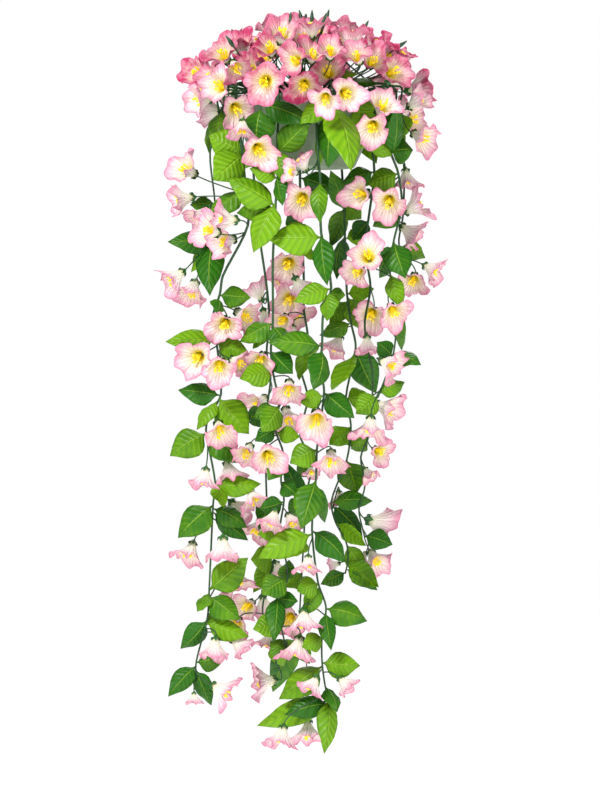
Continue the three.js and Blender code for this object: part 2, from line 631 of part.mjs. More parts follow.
// A plant's stem and what it bears. Each thing it bears starts a little further along the
// stem than the last one there, so that their roots lie side by side.
class Plant {
  constructor(name, colour, stem) {
    this.name = name;
    this.colour = colour;
    this.stem = stem;
    this.organs = [];
    this.bars = [];
  }

  // The n-th root at a stop of the stem: towards the next stop, or back from the last one.
  rootAt(stop, n) {
    const from = this.stem[stop];
    const last = stop === this.stem.length - 1;
    const way = this.stem[last ? stop - 1 : stop + 1].clone().sub(from).normalize();
    return from.clone().addScaledVector(way, STALK_SPACING * (n + 0.5));
  }

  addLeaf(base, tip, width, outward) {
    const i = this.organs.length;
    const roll = (spread(i + 3) - 0.5) * LEAF_ROLL;
    const face = new THREE.Vector3(Math.sin(roll), 0, 0.25).addScaledVector(outward, Math.cos(roll));
    this.organs.push({ make: leafSolid, base, tip, width, face: face.normalize() });
  }

  addBloom(base, middle, heading, size) {
    const roll = spread(this.organs.length + 7) * 2 * Math.PI;
    this.organs.push({ make: bloomSolid, base, middle, heading, size, roll });
  }

  addBud(base, tip) {
    this.organs.push({ make: budSolid, base, tip });
  }
}

// A stem that stands in the soil, climbs over the rim and hangs through its route.
function overRim(route) {
  const [outside] = route;
  const root = outside.clone().multiplyScalar(ROOT_SHARE);
  const crest = outside.clone().multiplyScalar(CREST_SHARE).setZ(CREST_HEIGHT);
  return [root.clone().setZ(STEM_FOOT), root.clone().setZ(SOIL_TOP + 9), crest, ...route];
}

function vinePlant([name, stops]) {
  const route = stops.map(([across, down, depth]) => onDrawing(across, down, depth));
  const stem = overRim(route);
  const plant = new Plant(name, FOLIAGE_COLOUR, stem);
  stops.forEach(([, , depth, leaves = [], blooms = []], stop) => {
    const outward = depth > 20 ? 1 : -1;
    const at = stop + stem.length - route.length;
    leaves.forEach(([across, down, width = LEAF_WIDTH], n) => {
      const i = plant.organs.length;
      const tip = onDrawing(across, down, depth + outward * (30 * spread(i) - 8));
      const side = outward > 0 && i % 2 ? 1 : -1;
      plant.addLeaf(plant.rootAt(at, n), tip, width, new THREE.Vector3(0, side, 0));
    });
    blooms.forEach(([across, down, angle, front, size = 1], n) => {
      const middle = onDrawing(across, down, depth + outward * (26 * spread(plant.organs.length) - 4));
      plant.addBloom(plant.rootAt(at, n + leaves.length), middle, headingOf(angle, front), size);
    });
  });
  return plant;
}

// All that lies on one side of the hook's room, or in it.
function hookBar(side) {
  const { halfDeep, low, high, reach } = HOOK_ROOM;
  const block = new THREE.BoxGeometry(2 * reach, reach, high - low);
  const solid = toSolid(block.translate(0, side * (reach / 2 - halfDeep), (low + high) / 2));
  return { solid, box: solid.boundingBox() };
}

// A spray of the head rises from the soil to a fork below the middle of what it bears.
function sprayPlant(name, points) {
  const middle = new THREE.Vector3();
  points.forEach((point) => middle.addScaledVector(point, 1 / points.length));
  const fork = HEAD_CORE.clone().lerp(middle, FORK_SHARE);
  fork.z = Math.max(fork.z, FORK_LOWEST);
  const root = fork.clone().multiplyScalar(ROOT_SHARE);
  const stem = [root.clone().setZ(STEM_FOOT), root.clone().setZ(SOIL_TOP + 7), fork];
  return new Plant(name, PETAL_COLOUR, stem);
}

function frontSpray([blooms, leaves, buds], index) {
  const place = ([across, down]) => onDrawing(across, down, domeDepth(across, down));
  const tips = buds.map(([x, y]) => onDrawing(x, y, domeDepth(x, y + BUD_FORWARD)));
  const plant = sprayPlant(`head_spray_${index + 1}`, [...[...blooms, ...leaves].map(place), ...tips]);
  const root = () => plant.rootAt(2, plant.organs.length);
  const front = new THREE.Vector3(0, -1, 0);
  for (const tip of tips) plant.addBud(root(), tip);
  for (const bloom of blooms) {
    const [, , angle, turn, size = 1] = bloom;
    plant.addBloom(root(), place(bloom), headingOf(angle, turn), size);
  }
  for (const leaf of leaves) plant.addLeaf(root(), place(leaf), leaf[2], front);
  plant.bars.push(hookBar(1));
  return plant;
}

function backSpray(azimuth, index) {
  const centre = onDrawing(DOME_ACROSS, DOME_DOWN, 0);
  const reach = new THREE.Vector3(DOME_HALF_WIDTH * STEP, DOME_DEPTH, DOME_HEIGHT * STEP);
  const blooms = BACK_SPRAY_TIERS.map(([rise, swing, size]) => {
    const heading = polar(azimuth + swing, Math.cos(rad(rise)), Math.sin(rad(rise)));
    const middle = heading.clone().multiply(reach).multiplyScalar(BACK_SHARE).add(centre);
    return { middle, heading, size };
  });
  const plant = sprayPlant(`head_back_spray_${index + 1}`, blooms.map((bloom) => bloom.middle));
  blooms.forEach(({ middle, heading, size }, n) =>
    plant.addBloom(plant.rootAt(2, n), middle, heading, size));
  plant.bars.push(hookBar(-1));
  return plant;
}

function backShoot(azimuth, index) {
  const outside = polar(azimuth, BACK_SHOOT_RADIUS, BACK_SHOOT_HEIGHT);
  const end = outside.clone().setZ(BACK_SHOOT_HEIGHT - 12);
  const plant = new Plant(`back_shoot_${index + 1}`, FOLIAGE_COLOUR, overRim([outside, end]));
  const outward = polar(azimuth, 1, 0);
  BACK_SHOOT_LEAVES.forEach(([swing, radius, z], n) =>
    plant.addLeaf(plant.rootAt(4, n), polar(azimuth + swing, radius, z), LEAF_WIDTH, outward));
  const [radius, z] = BACK_SHOOT_BLOOM;
  const heading = polar(azimuth, 1, 0.15).normalize();
  plant.addBloom(plant.rootAt(4, BACK_SHOOT_LEAVES.length), polar(azimuth, radius, z), heading, 1);
  return plant;
}

// ---- keeping the plants clear of each other ----------------------------------------------

const apart = (a, b) => [0, 1, 2].some((k) => a.max[k] < b.min[k] || b.max[k] < a.min[k]);

function meets(solid, others) {
  const box = solid.boundingBox();
  return others.some((other) => !apart(box, other.box) && !solid.intersect(other.solid).isEmpty());
}

const settled = [];
const settle = (owner, solid) => settled.push({ owner, solid, box: solid.boundingBox() });

// How much of a solid lies in others.
function overlap(solid, others) {
  const box = solid.boundingBox();
  const near = others.filter((other) => !apart(box, other.box));
  return near.reduce((sum, other) => sum + solid.intersect(other.solid).volume(), 0);
}

// The organ's solid at a depth where it clears every other plant and the hook's room: the
// first of them where it also clears its own plant beyond the root of its stalk, or else the
// one where it does best.
function settleOrgan(plant, organ) {
  const others = [...settled.filter((entry) => entry.owner !== plant.name), ...plant.bars];
  const own = settled.filter((entry) => entry.owner === plant.name);
  const best = { shift: null, shared: Infinity };
  for (const shift of DEPTH_SHIFTS) {
    if (meets(organ.make(organ, shift, CLEARANCE, 0), others)) continue;
    const shared = overlap(organ.make(organ, shift, CLEARANCE, STALK_ROOM), own);
    if (shared < best.shared) Object.assign(best, { shift, shared });
    if (shared === 0) break;
  }
  return best.shift === null ? null : organ.make(organ, best.shift, 0, 0);
}

// ---- the part ------------------------------------------------------------------------------

const plants = [
  ...Object.entries(VINES).map(vinePlant),
  ...HEAD_SPRAYS.map(frontSpray),
  ...BACK_SPRAY_AZIMUTHS.map(backSpray),
  ...BACK_SHOOT_AZIMUTHS.map(backShoot),
];

const group = new THREE.Group();

function addNode(name, solid, colour, roughness, metalness) {
  const material = new THREE.MeshStandardMaterial({ color: colour, roughness, metalness });
  const mesh = new THREE.Mesh(toGeometry(solid), material);
  mesh.name = name;
  group.add(mesh);
}

const legs = LEG_AZIMUTHS.map((azimuth, i) => {
  const leg = tube(legStops(azimuth, LEG_SIDES[i], LEG_SEATS[i]), LEG_RADIUS, 4);
  return [`hanger_wire_${i + 1}`, leg, WIRE_COLOUR, 0.45, 0.6];
});
const hardware = [
  ["pot", potSolid(), POT_COLOUR, 0.55, 0],
  ["soil", soilSolid(plants.map((plant) => plant.stem[0])), SOIL_COLOUR, 0.95, 0],
  ["ring", ringSolid(), WIRE_COLOUR, 0.45, 0.6],
  ...legs,
];
for (const [name, solid, ...finish] of hardware) {
  addNode(name, solid, ...finish);
  settle(name, solid);
}

for (const plant of plants) {
  plant.body = tube(plant.stem, STEM_RADIUS, STEM_SIDES);
  settle(plant.name, plant.body);
}
for (const plant of plants) {
  let whole = plant.body;
  for (const organ of plant.organs) {
    const solid = settleOrgan(plant, organ);
    if (!solid) continue;
    settle(plant.name, solid);
    whole = whole.add(solid);
  }
  addNode(plant.name, whole, plant.colour, 0.6, 0);
}

export default group;
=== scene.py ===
"""Looks of the petunia hanging basket: fine ruffled blooms, veined leaves, wiry stems, pot, soil,
ring and wires, each in the place of its faceted solid. Lengths are worked out in millimetres."""

import math

import bmesh
import bpy
import numpy as np
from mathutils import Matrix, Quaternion, Vector, kdtree


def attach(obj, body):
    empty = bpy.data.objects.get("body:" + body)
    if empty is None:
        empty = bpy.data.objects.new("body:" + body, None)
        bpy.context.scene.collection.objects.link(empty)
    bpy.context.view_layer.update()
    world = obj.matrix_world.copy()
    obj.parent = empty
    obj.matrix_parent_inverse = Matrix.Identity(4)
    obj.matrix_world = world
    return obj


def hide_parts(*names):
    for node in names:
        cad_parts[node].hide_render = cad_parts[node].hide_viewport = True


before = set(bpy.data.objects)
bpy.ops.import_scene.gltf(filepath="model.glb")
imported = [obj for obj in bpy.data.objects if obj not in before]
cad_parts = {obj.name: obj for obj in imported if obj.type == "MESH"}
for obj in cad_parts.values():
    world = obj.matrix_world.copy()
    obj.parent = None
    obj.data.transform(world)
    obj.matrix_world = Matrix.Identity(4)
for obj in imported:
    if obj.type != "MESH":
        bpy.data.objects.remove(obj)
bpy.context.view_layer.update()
MM = 0.001

# The layout is drawn on a front view: steps across from its left edge, and steps down from its
# top edge. Depths are in millimetres, negative towards the front.
STEP = 1.25
AXIS_ACROSS = 306
SEAT_DOWN = 12

# Pot, soil and hanger.
RIM_TOP = -104
POT_BOTTOM = -192
POT_TOP_RADIUS = 97.5
POT_BASE_RADIUS = 62
FLANGE_RADIUS = 106.5
FLANGE_THICKNESS = 3
POT_WALL = 2.4
SOIL_TOP = -112
STEM_FOOT = -150
FIT_GAP = 0.35
RING_RADIUS = 10
RING_WIRE_RADIUS = 1.5
RING_CENTRE = RING_WIRE_RADIUS - RING_RADIUS
LEG_RADIUS = 1.2
LEG_EYE_RADIUS = 102.4
LEG_FOOT = 9
LEG_DROP = 9
HOOK_ARC = 210
HOOK_STEP = 14
LEG_AZIMUTHS = [20, 140, 260]
LEG_SIDES = [1, -1, -1]
LEG_SEATS = [0, 34, -34]
HOOK_RADIUS = 3.1

# Stems, leaves and blooms.
VINE_RISE = 9
SPRAY_RISE = 7
STEM_THICKNESS = 1.9
STEM_TAPER = 0.8
STALK_THICKNESS = 0.95
STALK_TAPER = 0.15
BUD_STALK_THICKNESS = 0.9
STALK_BENDS = 7
STALK_SPACING = 4
BACK_FROM_DEPTH = 20
LEAF_THICKNESS = 0.9
LEAF_WIDTH = 37
LEAF_ARCH = 0.1
LEAF_FOLD = 0.36
LEAF_ROLL = 1.3
BLOOM_RADIUS = 20
BLOOM_DEPTH = 26
BLOOM_MIDDLE = 15
PETAL_THICKNESS = 1.1
LOBES = 5
LOBE_CUT = 0.15
LOBE_WAVE = 2.4
BUD_LENGTH = 19

# The head is a dome over the pot, and its stems part from a point above the soil.
DOME_ACROSS = 308
DOME_DOWN = 112
DOME_HALF_WIDTH = 124
DOME_HEIGHT = 98
DOME_DEPTH = 124
BACK_SHARE = 0.95
HEAD_CORE = Vector((0, 0, -104))
FORK_SHARE = 0.56
FORK_LOWEST = -94
ROOT_SHARE = 0.56
CREST_HEIGHT = -90
MATCH_WITHIN = 0.02
DEPTH_SHIFTS = [0, -6, 6, -12, 12, -18, 18, -25, 25, -32, 32, -40, 40, -50, 50]

# Each stop of a vine is [across, down, depth, leaves, blooms]. A leaf is [across and down of its
# tip, width]; a bloom is [across and down of its middle, heading in the front view, how far it
# turns to the front, size]. Angles are in degrees.
VINES = {
    "vine_far_left": [
        [218, 112, 8],
        [209, 150, 8],
        [214, 200, 0, [[189, 203, 22]]],
        [213, 243, -6, [[167, 241, 30], [210, 296, 36], [190, 271, 26]],
         [[176, 277, -140, 15], [191, 287, -110, 25]]],
    ],
    "vine_left": [
        [238, 112, -72],
        [242, 150, -80, [[209, 136, 40], [214, 182, 46]], [[243, 130, -95, 15, 0.8]]],
        [246, 190, -82, [[206, 217, 30]],
         [[188, 170, 150, 35, 1.05], [184, 199, -170, 10], [203, 215, -130, 15]]],
        [248, 226, -78, [], [[228, 221, 178, 12], [227, 241, 195, 35], [212, 233, 165, 35]]],
        [223, 276, -68],
        [220, 294, -66, [[251, 298, 28], [217, 314, 22]], [[225, 324, -110, 60], [243, 315, -30, 35]]],
        [213, 316, -62],
        [216, 338, -60, [[166, 342, 30], [250, 355, 30]],
         [[198, 357, -150, 65, 1.1], [220, 366, -95, 50], [237, 362, -25, 30, 0.85]]],
        [221, 394, -58, [[178, 390, 30], [249, 434, 44], [197, 430, 22]], [[220, 429, -75, 40]]],
        [208, 418, -54],
        [206, 432, -52, [[170, 456, 40], [241, 463, 38]],
         [[205, 476, -100, 5, 0.85], [229, 471, -75, 12]]],
        [215, 482, -50, [[224, 508, 22], [261, 484, 28]],
         [[253, 497, -65, 20, 0.9], [237, 508, -40, -20]]],
        [213, 504, -50, [[178, 538, 40], [247, 528, 30], [248, 541, 24]],
         [[190, 551, -110, 18, 0.95], [223, 547, -90, 5, 1.05]]],
        [209, 589, -44, [[248, 558, 40], [197, 612, 22], [240, 620, 34]], [[237, 580, -75, 18]]],
        [207, 619, -42, [[180, 650, 28], [249, 637, 28], [227, 611, 22]],
         [[215, 647, -95, 8, 0.95], [238, 645, -40, 5, 0.8]]],
        [196, 662, -38, [[224, 661, 28], [168, 697, 26], [211, 707, 24]], [[220, 690, -30, 5]]],
        [195, 682, -38, [], [[194, 698, -88, 0, 0.5]]],
    ],
    "vine_left_front": [
        [279, 112, -107],
        [277, 150, -110, [[285, 186, 24], [310, 123, 34]], [[259, 152, -60, 60, 1.1]]],
        [278, 176, -110, [[283, 208, 22], [250, 171, 24]]],
        [276, 203, -106, [[254, 254, 38], [228, 180, 40], [237, 214, 30]]],
        [273, 262, -94],
        [273, 322, -86, [[240, 342, 30], [286, 345, 28]]],
        [271, 350, -82, [[293, 374, 30]], [[261, 359, -110, 50, 0.85]]],
        [273, 372, -80, [[240, 379, 32]], [[289, 388, -95, 40, 0.95]]],
        [279, 404, -76, [[262, 432, 34], [254, 418, 26]], [[287, 416, -78, 28]]],
        [275, 428, -74, [[255, 441, 22], [300, 437, 22]],
         [[248, 451, -110, 38, 0.9], [268, 456, -65, 62]]],
        [283, 452, -72, [[248, 464, 26], [268, 480, 26]]],
        [281, 480, -70, [[297, 494, 26]]],
        [284, 500, -68, [[259, 509, 24]], [[273, 518, -108, 18, 0.9], [291, 520, -60, 25, 0.8]]],
        [280, 530, -66, [[258, 534, 22]]],
        [288, 578, -62, [[262, 594, 34], [289, 560, 26]]],
        [277, 594, -60, [[274, 641, 26], [298, 601, 22]], [[290, 619, -120, 60, 0.95]]],
        [280, 622, -58, [[253, 629, 30]], [[298, 646, -100, 8, 1.05]]],
        [288, 655, -56, [[270, 642, 30]]],
    ],
    "vine_left_back": [
        [250, 112, 86],
        [252, 160, 84, [[226, 140, 36]]],
        [256, 215, 78],
        [266, 284, 68, [], [[258, 292, 120, -20, 0.8], [264, 314, -75, -15, 0.8]]],
        [269, 322, 62, [[252, 348, 24]]],
        [266, 350, 60],
        [270, 378, 56, [], [[259, 402, -140, 30, 0.95]]],
        [266, 412, 52, [[244, 420, 30]]],
        [266, 498, 44, [[258, 532, 24]], [[256, 530, -120, 20, 0.9]]],
        [274, 558, 40, [[250, 562, 36], [252, 597, 26]], [[278, 571, -70, 0, 0.7]]],
        [266, 590, 38, [], [[247, 609, -150, 48, 0.9], [263, 608, -80, -15, 0.9]]],
        [262, 616, 38, [], [[236, 626, -115, 50, 0.85]]],
        [272, 640, 36, [[284, 672, 30]], [[267, 645, -110, 5, 0.75]]],
        [276, 670, 36, [], [[266, 686, 185, 5, 1.05]]],
    ],
    "vine_centre_front": [
        [316, 112, -112],
        [318, 160, -114, [], [[303, 167, 115, 10, 0.75], [293, 175, 170, 40, 0.6]]],
        [320, 182, -112, [[320, 226, 22]], [[302, 200, -110, 62, 1.05], [290, 187, 160, 30, 0.7]]],
        [321, 234, -106, [[327, 287, 28], [268, 240, 42]]],
        [331, 288, -100, [[294, 303, 28], [327, 322, 26], [345, 296, 22]]],
        [323, 315, -96],
        [322, 345, -92, [[268, 343, 32], [313, 390, 34]]],
        [320, 368, -90],
        [324, 391, -86, [[354, 418, 32], [299, 402, 26]], [[316, 419, -98, 48, 1.15]]],
        [317, 448, -82, [[290, 463, 34]], [[331, 458, -90, 32, 0.95]]],
        [316, 478, -80, [[301, 528, 38], [325, 523, 22]]],
        [312, 529, -76, [[346, 562, 34], [258, 558, 36]], [[308, 562, -92, 12, 0.75]]],
        [318, 582, -72, [[297, 590, 30], [306, 615, 24]]],
        [326, 607, -70, [[367, 621, 36], [331, 649, 22]], [[304, 618, -85, 5, 0.95]]],
        [322, 635, -68, [[302, 646, 26]]],
        [322, 661, -66, [[360, 665, 34], [279, 699, 40]],
         [[313, 682, -120, 5, 0.8], [344, 682, -45, 5, 0.75]]],
        [325, 685, -64, [[337, 711, 24]]],
        [330, 705, -62, [[285, 714, 28], [257, 727, 34], [324, 752, 28]],
         [[282, 733, -100, 8, 0.95], [308, 731, -88, 12]]],
    ],
    "vine_centre_back": [
        [301, 112, 112],
        [300, 170, 108, [[340, 186, 30]]],
        [301, 215, 104, [[285, 219, 34]]],
        [303, 250, 100, [[312, 244, 26]], [[288, 260, -105, 62, 1.1], [282, 275, -130, 35, 0.8]]],
        [304, 282, 96, [], [[289, 296, -120, 62, 1.05], [298, 281, -60, -25, 0.8]]],
        [304, 308, 92, [],
         [[296, 311, -60, 58, 0.9], [283, 318, -130, 48, 0.8], [292, 330, -95, 10, 0.7]]],
        [308, 338, 88, [[312, 357, 26], [299, 380, 26]]],
        [300, 364, 86],
        [308, 398, 82],
        [300, 436, 80],
        [312, 462, 76, [[298, 478, 28]], [[311, 472, -80, 30, 0.5]]],
        [306, 500, 74, [[290, 520, 30], [284, 462, 24]]],
        [304, 540, 70, [[290, 560, 30]]],
        [302, 575, 66, [[286, 592, 28]]],
        [298, 648, 58, [[276, 664, 26], [310, 668, 26], [272, 700, 34]], [[305, 690, -100, 10, 0.8]]],
    ],
    "vine_right_front": [
        [386, 112, -52],
        [390, 150, -58, [[413, 150, 34], [395, 104, 26], [364, 134, 26]]],
        [398, 172, -58, [[367, 184, 36]], [[362, 194, 185, 45], [389, 201, -105, 62, 1.05]]],
        [402, 206, -56, [[373, 226, 30]]],
        [394, 240, -54, [[405, 279, 36], [380, 277, 30]], [[368, 257, 110, 68, 1.05]]],
        [390, 272, -50, [[402, 308, 24]], [[358, 271, -140, 50, 0.85], [393, 311, -60, 50, 0.95]]],
        [397, 300, -46, [[403, 350, 22]]],
        [394, 352, -42, [[421, 365, 24], [377, 342, 24]], [[388, 364, -25, 25, 0.95]]],
        [378, 398, -38, [[356, 414, 32], [405, 382, 24]],
         [[386, 408, -20, 18, 1.1], [370, 426, -95, 18]]],
    ],
    "vine_right_inner": [
        [370, 112, 76],
        [376, 165, 76, [[343, 178, 30]]],
        [370, 215, 72, [[354, 236, 26]]],
        [366, 245, 70],
        [372, 284, 66, [], [[373, 312, -115, 60, 1.05]]],
        [366, 320, 48],
        [368, 345, 36, [], [[368, 343, -90, 5, 0.8]]],
        [374, 375, 34],
        [370, 436, 42, [[352, 450, 28]], [[380, 452, -25, 50, 0.8]]],
        [362, 458, 52, [], [[369, 474, -60, 20, 0.6]]],
        [366, 488, 50],
        [360, 512, 48, [], [[378, 525, -20, -25, 1.15]]],
        [366, 540, 46, [[394, 547, 28]], [[376, 562, -60, 30], [365, 560, -120, 10, 0.5]]],
    ],
    "vine_right_back": [
        [340, 112, 102],
        [345, 198, 96, [[363, 214, 28], [331, 243, 26], [331, 165, 26]]],
        [346, 230, 92, [[338, 276, 26], [374, 228, 24]]],
        [348, 290, 84, [[376, 286, 26], [366, 329, 34], [330, 322, 24]]],
        [352, 320, 80, [[320, 334, 24]], [[338, 342, -115, 12, 0.9]]],
        [357, 346, 76, [[378, 393, 38], [332, 390, 36]]],
        [347, 397, 70, [[372, 396, 30]]],
        [352, 426, 66, [[330, 446, 34], [362, 448, 28]]],
        [348, 460, 62, [[358, 496, 38]]],
        [332, 503, 56, [[374, 503, 26], [364, 541, 28]], [[340, 500, -90, 5, 0.7]]],
        [336, 524, 54, [[367, 548, 24]]],
        [347, 545, 50, [[368, 580, 26]]],
        [349, 562, 48, [[380, 590, 30]], [[336, 568, -160, -10, 0.5]]],
        [346, 577, 46, [[321, 588, 22], [379, 594, 24]]],
    ],
    "vine_far_right": [
        [395, 112, 16],
        [405, 160, 10, [], [[407, 176, -85, 5, 0.9]]],
        [404, 215, 6, [], [[414, 206, 30, 5], [410, 230, -35, 8]]],
        [400, 243, 2, [[427, 256, 24]]],
        [412, 262, 0, [], [[414, 279, -110, 48, 0.9], [432, 268, -30, 15, 0.85]]],
    ],
    "shoot_left": [
        [224, 103, -58],
        [222, 112, -64, [[216, 146, 34]],
         [[203, 101, 190, 25], [221, 88, 160, 58], [236, 110, -60, 60]]],
    ],
    "shoot_front_left": [
        [262, 102, -106],
        [261, 112, -110, [[256, 150, 44], [312, 128, 32]]],
    ],
    "shoot_front": [
        [333, 102, -114],
        [333, 112, -118, [[328, 170, 44], [350, 176, 46], [300, 128, 30], [317, 172, 24]],
         [[345, 97, -30, 66], [325, 104, -100, 55, 0.9]]],
    ],
    "shoot_right": [
        [382, 102, -72],
        [384, 112, -76, [[400, 116, 26], [357, 152, 38], [347, 128, 32]],
         [[372, 129, -105, 58, 1.05], [381, 110, 60, 45]]],
    ],
    "shoot_far_right": [
        [401, 102, -14],
        [403, 112, -14, [[404, 136, 26]],
         [[416, 101, 35, 18, 0.95], [412, 117, 5, 42, 0.9], [420, 137, -30, 32]]],
    ],
}

# A bud starts as far forward as the dome is a little further down.
BUD_FORWARD = 18

# Each spray of the head is [blooms, leaves, buds]; a bud is [across and down of its tip].
HEAD_SPRAYS = [
    [[[198, 72, 150, 35], [224, 57, 120, 45], [213, 78, 140, 35, 0.85],
     [206, 92, 175, 35, 0.85]], [], [[201, 50], [226, 38]]],
    [[[251, 71, 150, 55, 0.9], [266, 87, -120, 74, 1.15], [264, 60, 95, 42], [236, 70, -60, 40, 0.85]],
     [], []],
    [[[241, 47, 110, 25], [259, 44, 100, 20], [282, 40, 85, 40], [271, 52, 100, 50, 0.95],
     [289, 35, 92, 10, 0.8]], [], [[265, 26], [291, 16]]],
    [[[303, 43, 95, 35, 0.9], [320, 37, 85, 20], [313, 34, 90, 8, 0.85], [337, 46, 80, 30, 0.85]],
     [],
     [[299, 10], [312, 13], [326, 16], [329, 13]]],
    [[[296, 66, 170, 58, 0.9], [304, 88, -100, 68], [312, 60, 80, 45, 0.9]], [[289, 58, 22]],
     [[301, 42]]],
    [[[328, 74, 110, 66, 1.05], [330, 58, 85, 45, 0.85], [343, 52, 70, 40, 0.85]], [[341, 54, 20]], []],
    [[[350, 44, 85, 2], [375, 48, 55, 8], [372, 63, 50, 55, 0.9], [357, 62, 110, 45, 0.85]],
     [[358, 78, 22]], [[369, 19]]],
    [[[392, 72, 20, 55], [402, 56, 60, 12, 0.7], [388, 57, 60, 35, 0.75]], [[377, 86, 24]],
     [[408, 38]]],
]
BACK_SPRAY_AZIMUTHS = [22, 62, 104, 146]
BACK_SPRAY_TIERS = [[18, -10, 1.05], [24, 13, 1], [44, -12, 1], [48, 12, 0.95], [68, 2, 0.85]]
BACK_SHOOT_AZIMUTHS = [26, 56, 80, 111, 152]
BACK_SHOOT_RADIUS = 117
BACK_SHOOT_HEIGHT = -104
BACK_SHOOT_BLOOM = [132, -118]
BACK_SHOOT_LEAVES = [[-11, 128, -182], [10, 131, -168]]

UP_LOCAL = Vector((0, 1, 0))


# ---- layout, by the same rules as the solids ----


def spread(i):
    """A repeatable, evenly spread fraction for the i-th leaf or bloom of a plant."""
    return (i * 0.618034 + 0.31) % 1


def on_drawing(across, down, depth):
    return Vector(((across - AXIS_ACROSS) * STEP, depth, (SEAT_DOWN - down) * STEP))


def polar(azimuth, radius, z):
    turn = math.radians(azimuth)
    return Vector((radius * math.cos(turn), radius * math.sin(turn), z))


def heading_of(angle, front):
    a, f = math.radians(angle), math.radians(front)
    return Vector((math.cos(a) * math.cos(f), -math.sin(f), math.sin(a) * math.cos(f)))


def dome_depth(across, down):
    x = (across - DOME_ACROSS) / DOME_HALF_WIDTH
    z = max(0, DOME_DOWN - down) / DOME_HEIGHT
    return -DOME_DEPTH * math.sqrt(max(0, 1 - x * x - z * z))


class Plant:
    """A plant's stem and what it bears, each thing with its root beside the last one's."""

    def __init__(self, name, stem):
        self.name = name
        self.stem = stem
        self.organs = []

    def root_at(self, stop, n):
        start = self.stem[stop]
        last = stop == len(self.stem) - 1
        way = (self.stem[stop - 1 if last else stop + 1] - start).normalized()
        return start + way * (STALK_SPACING * (n + 0.5))

    def add_leaf(self, base, tip, width, outward):
        roll = (spread(len(self.organs) + 3) - 0.5) * LEAF_ROLL
        face = Vector((math.sin(roll), 0, 0.25)) + outward * math.cos(roll)
        self.organs.append({"kind": "leaf", "base": base, "tip": tip, "width": width,
                            "face": face.normalized()})

    def add_bloom(self, base, middle, heading, size):
        roll = spread(len(self.organs) + 7) * 2 * math.pi
        self.organs.append({"kind": "bloom", "base": base, "middle": middle, "heading": heading,
                            "size": size, "roll": roll})

    def add_bud(self, base, tip):
        self.organs.append({"kind": "bud", "base": base, "tip": tip})


def with_y(vector, y):
    return Vector((vector.x, y, vector.z))


def with_z(vector, z):
    return Vector((vector.x, vector.y, z))


def over_rim(route):
    root = route[0] * ROOT_SHARE
    return [with_z(root, STEM_FOOT), with_z(root, SOIL_TOP + VINE_RISE), with_z(route[0], CREST_HEIGHT),
            *route]


def vine_plant(name, stops):
    route = [on_drawing(*stop[:3]) for stop in stops]
    stem = over_rim(route)
    plant = Plant(name, stem)
    for stop, (_, _, depth, *borne) in enumerate(stops):
        leaves, blooms = (borne + [[], []])[:2]
        outward = 1 if depth > BACK_FROM_DEPTH else -1
        at = stop + len(stem) - len(route)
        for n, (across, down, *width) in enumerate(leaves):
            i = len(plant.organs)
            tip = on_drawing(across, down, depth + outward * (30 * spread(i) - 8))
            side = 1 if outward > 0 and i % 2 else -1
            plant.add_leaf(plant.root_at(at, n), tip, (width + [LEAF_WIDTH])[0],
                           Vector((0, side, 0)))
        for n, (across, down, angle, front, *size) in enumerate(blooms):
            reach = outward * (26 * spread(len(plant.organs)) - 4)
            middle = on_drawing(across, down, depth + reach)
            plant.add_bloom(plant.root_at(at, n + len(leaves)), middle, heading_of(angle, front),
                            (size + [1])[0])
    return plant


def spray_plant(name, points):
    middle = sum(points, Vector()) / len(points)
    fork = HEAD_CORE.lerp(middle, FORK_SHARE)
    fork.z = max(fork.z, FORK_LOWEST)
    root = fork * ROOT_SHARE
    return Plant(name, [with_z(root, STEM_FOOT), with_z(root, SOIL_TOP + SPRAY_RISE), fork])


def front_spray(index, blooms, leaves, buds):
    def place(item):
        return on_drawing(item[0], item[1], dome_depth(item[0], item[1]))

    tips = [on_drawing(x, y, dome_depth(x, y + BUD_FORWARD)) for x, y in buds]
    name = f"head_spray_{index + 1}"
    plant = spray_plant(name, [place(item) for item in blooms + leaves] + tips)

    def root():
        return plant.root_at(2, len(plant.organs))

    for tip in tips:
        plant.add_bud(root(), tip)
    for across, down, angle, turn, *size in blooms:
        plant.add_bloom(root(), place([across, down]), heading_of(angle, turn), (size + [1])[0])
    for leaf in leaves:
        plant.add_leaf(root(), place(leaf), leaf[2], Vector((0, -1, 0)))
    return plant


def back_spray(index, azimuth):
    centre = on_drawing(DOME_ACROSS, DOME_DOWN, 0)
    reach = Vector((DOME_HALF_WIDTH * STEP, DOME_DEPTH, DOME_HEIGHT * STEP))
    blooms = []
    for rise, swing, size in BACK_SPRAY_TIERS:
        lift = math.radians(rise)
        heading = polar(azimuth + swing, math.cos(lift), math.sin(lift))
        blooms.append((heading * reach * BACK_SHARE + centre, heading, size))
    plant = spray_plant(f"head_back_spray_{index + 1}", [middle for middle, _, _ in blooms])
    for n, (middle, heading, size) in enumerate(blooms):
        plant.add_bloom(plant.root_at(2, n), middle, heading, size)
    return plant


def back_shoot(index, azimuth):
    outside = polar(azimuth, BACK_SHOOT_RADIUS, BACK_SHOOT_HEIGHT)
    plant = Plant(f"back_shoot_{index + 1}",
                  over_rim([outside, with_z(outside, BACK_SHOOT_HEIGHT - 12)]))
    outward = polar(azimuth, 1, 0)
    for n, (swing, radius, z) in enumerate(BACK_SHOOT_LEAVES):
        plant.add_leaf(plant.root_at(4, n), polar(azimuth + swing, radius, z), LEAF_WIDTH, outward)
    radius, z = BACK_SHOOT_BLOOM
    plant.add_bloom(plant.root_at(4, len(BACK_SHOOT_LEAVES)), polar(azimuth, radius, z),
                    polar(azimuth, 1, 0.15).normalized(), 1)
    return plant


# ---- where each thing was settled ----


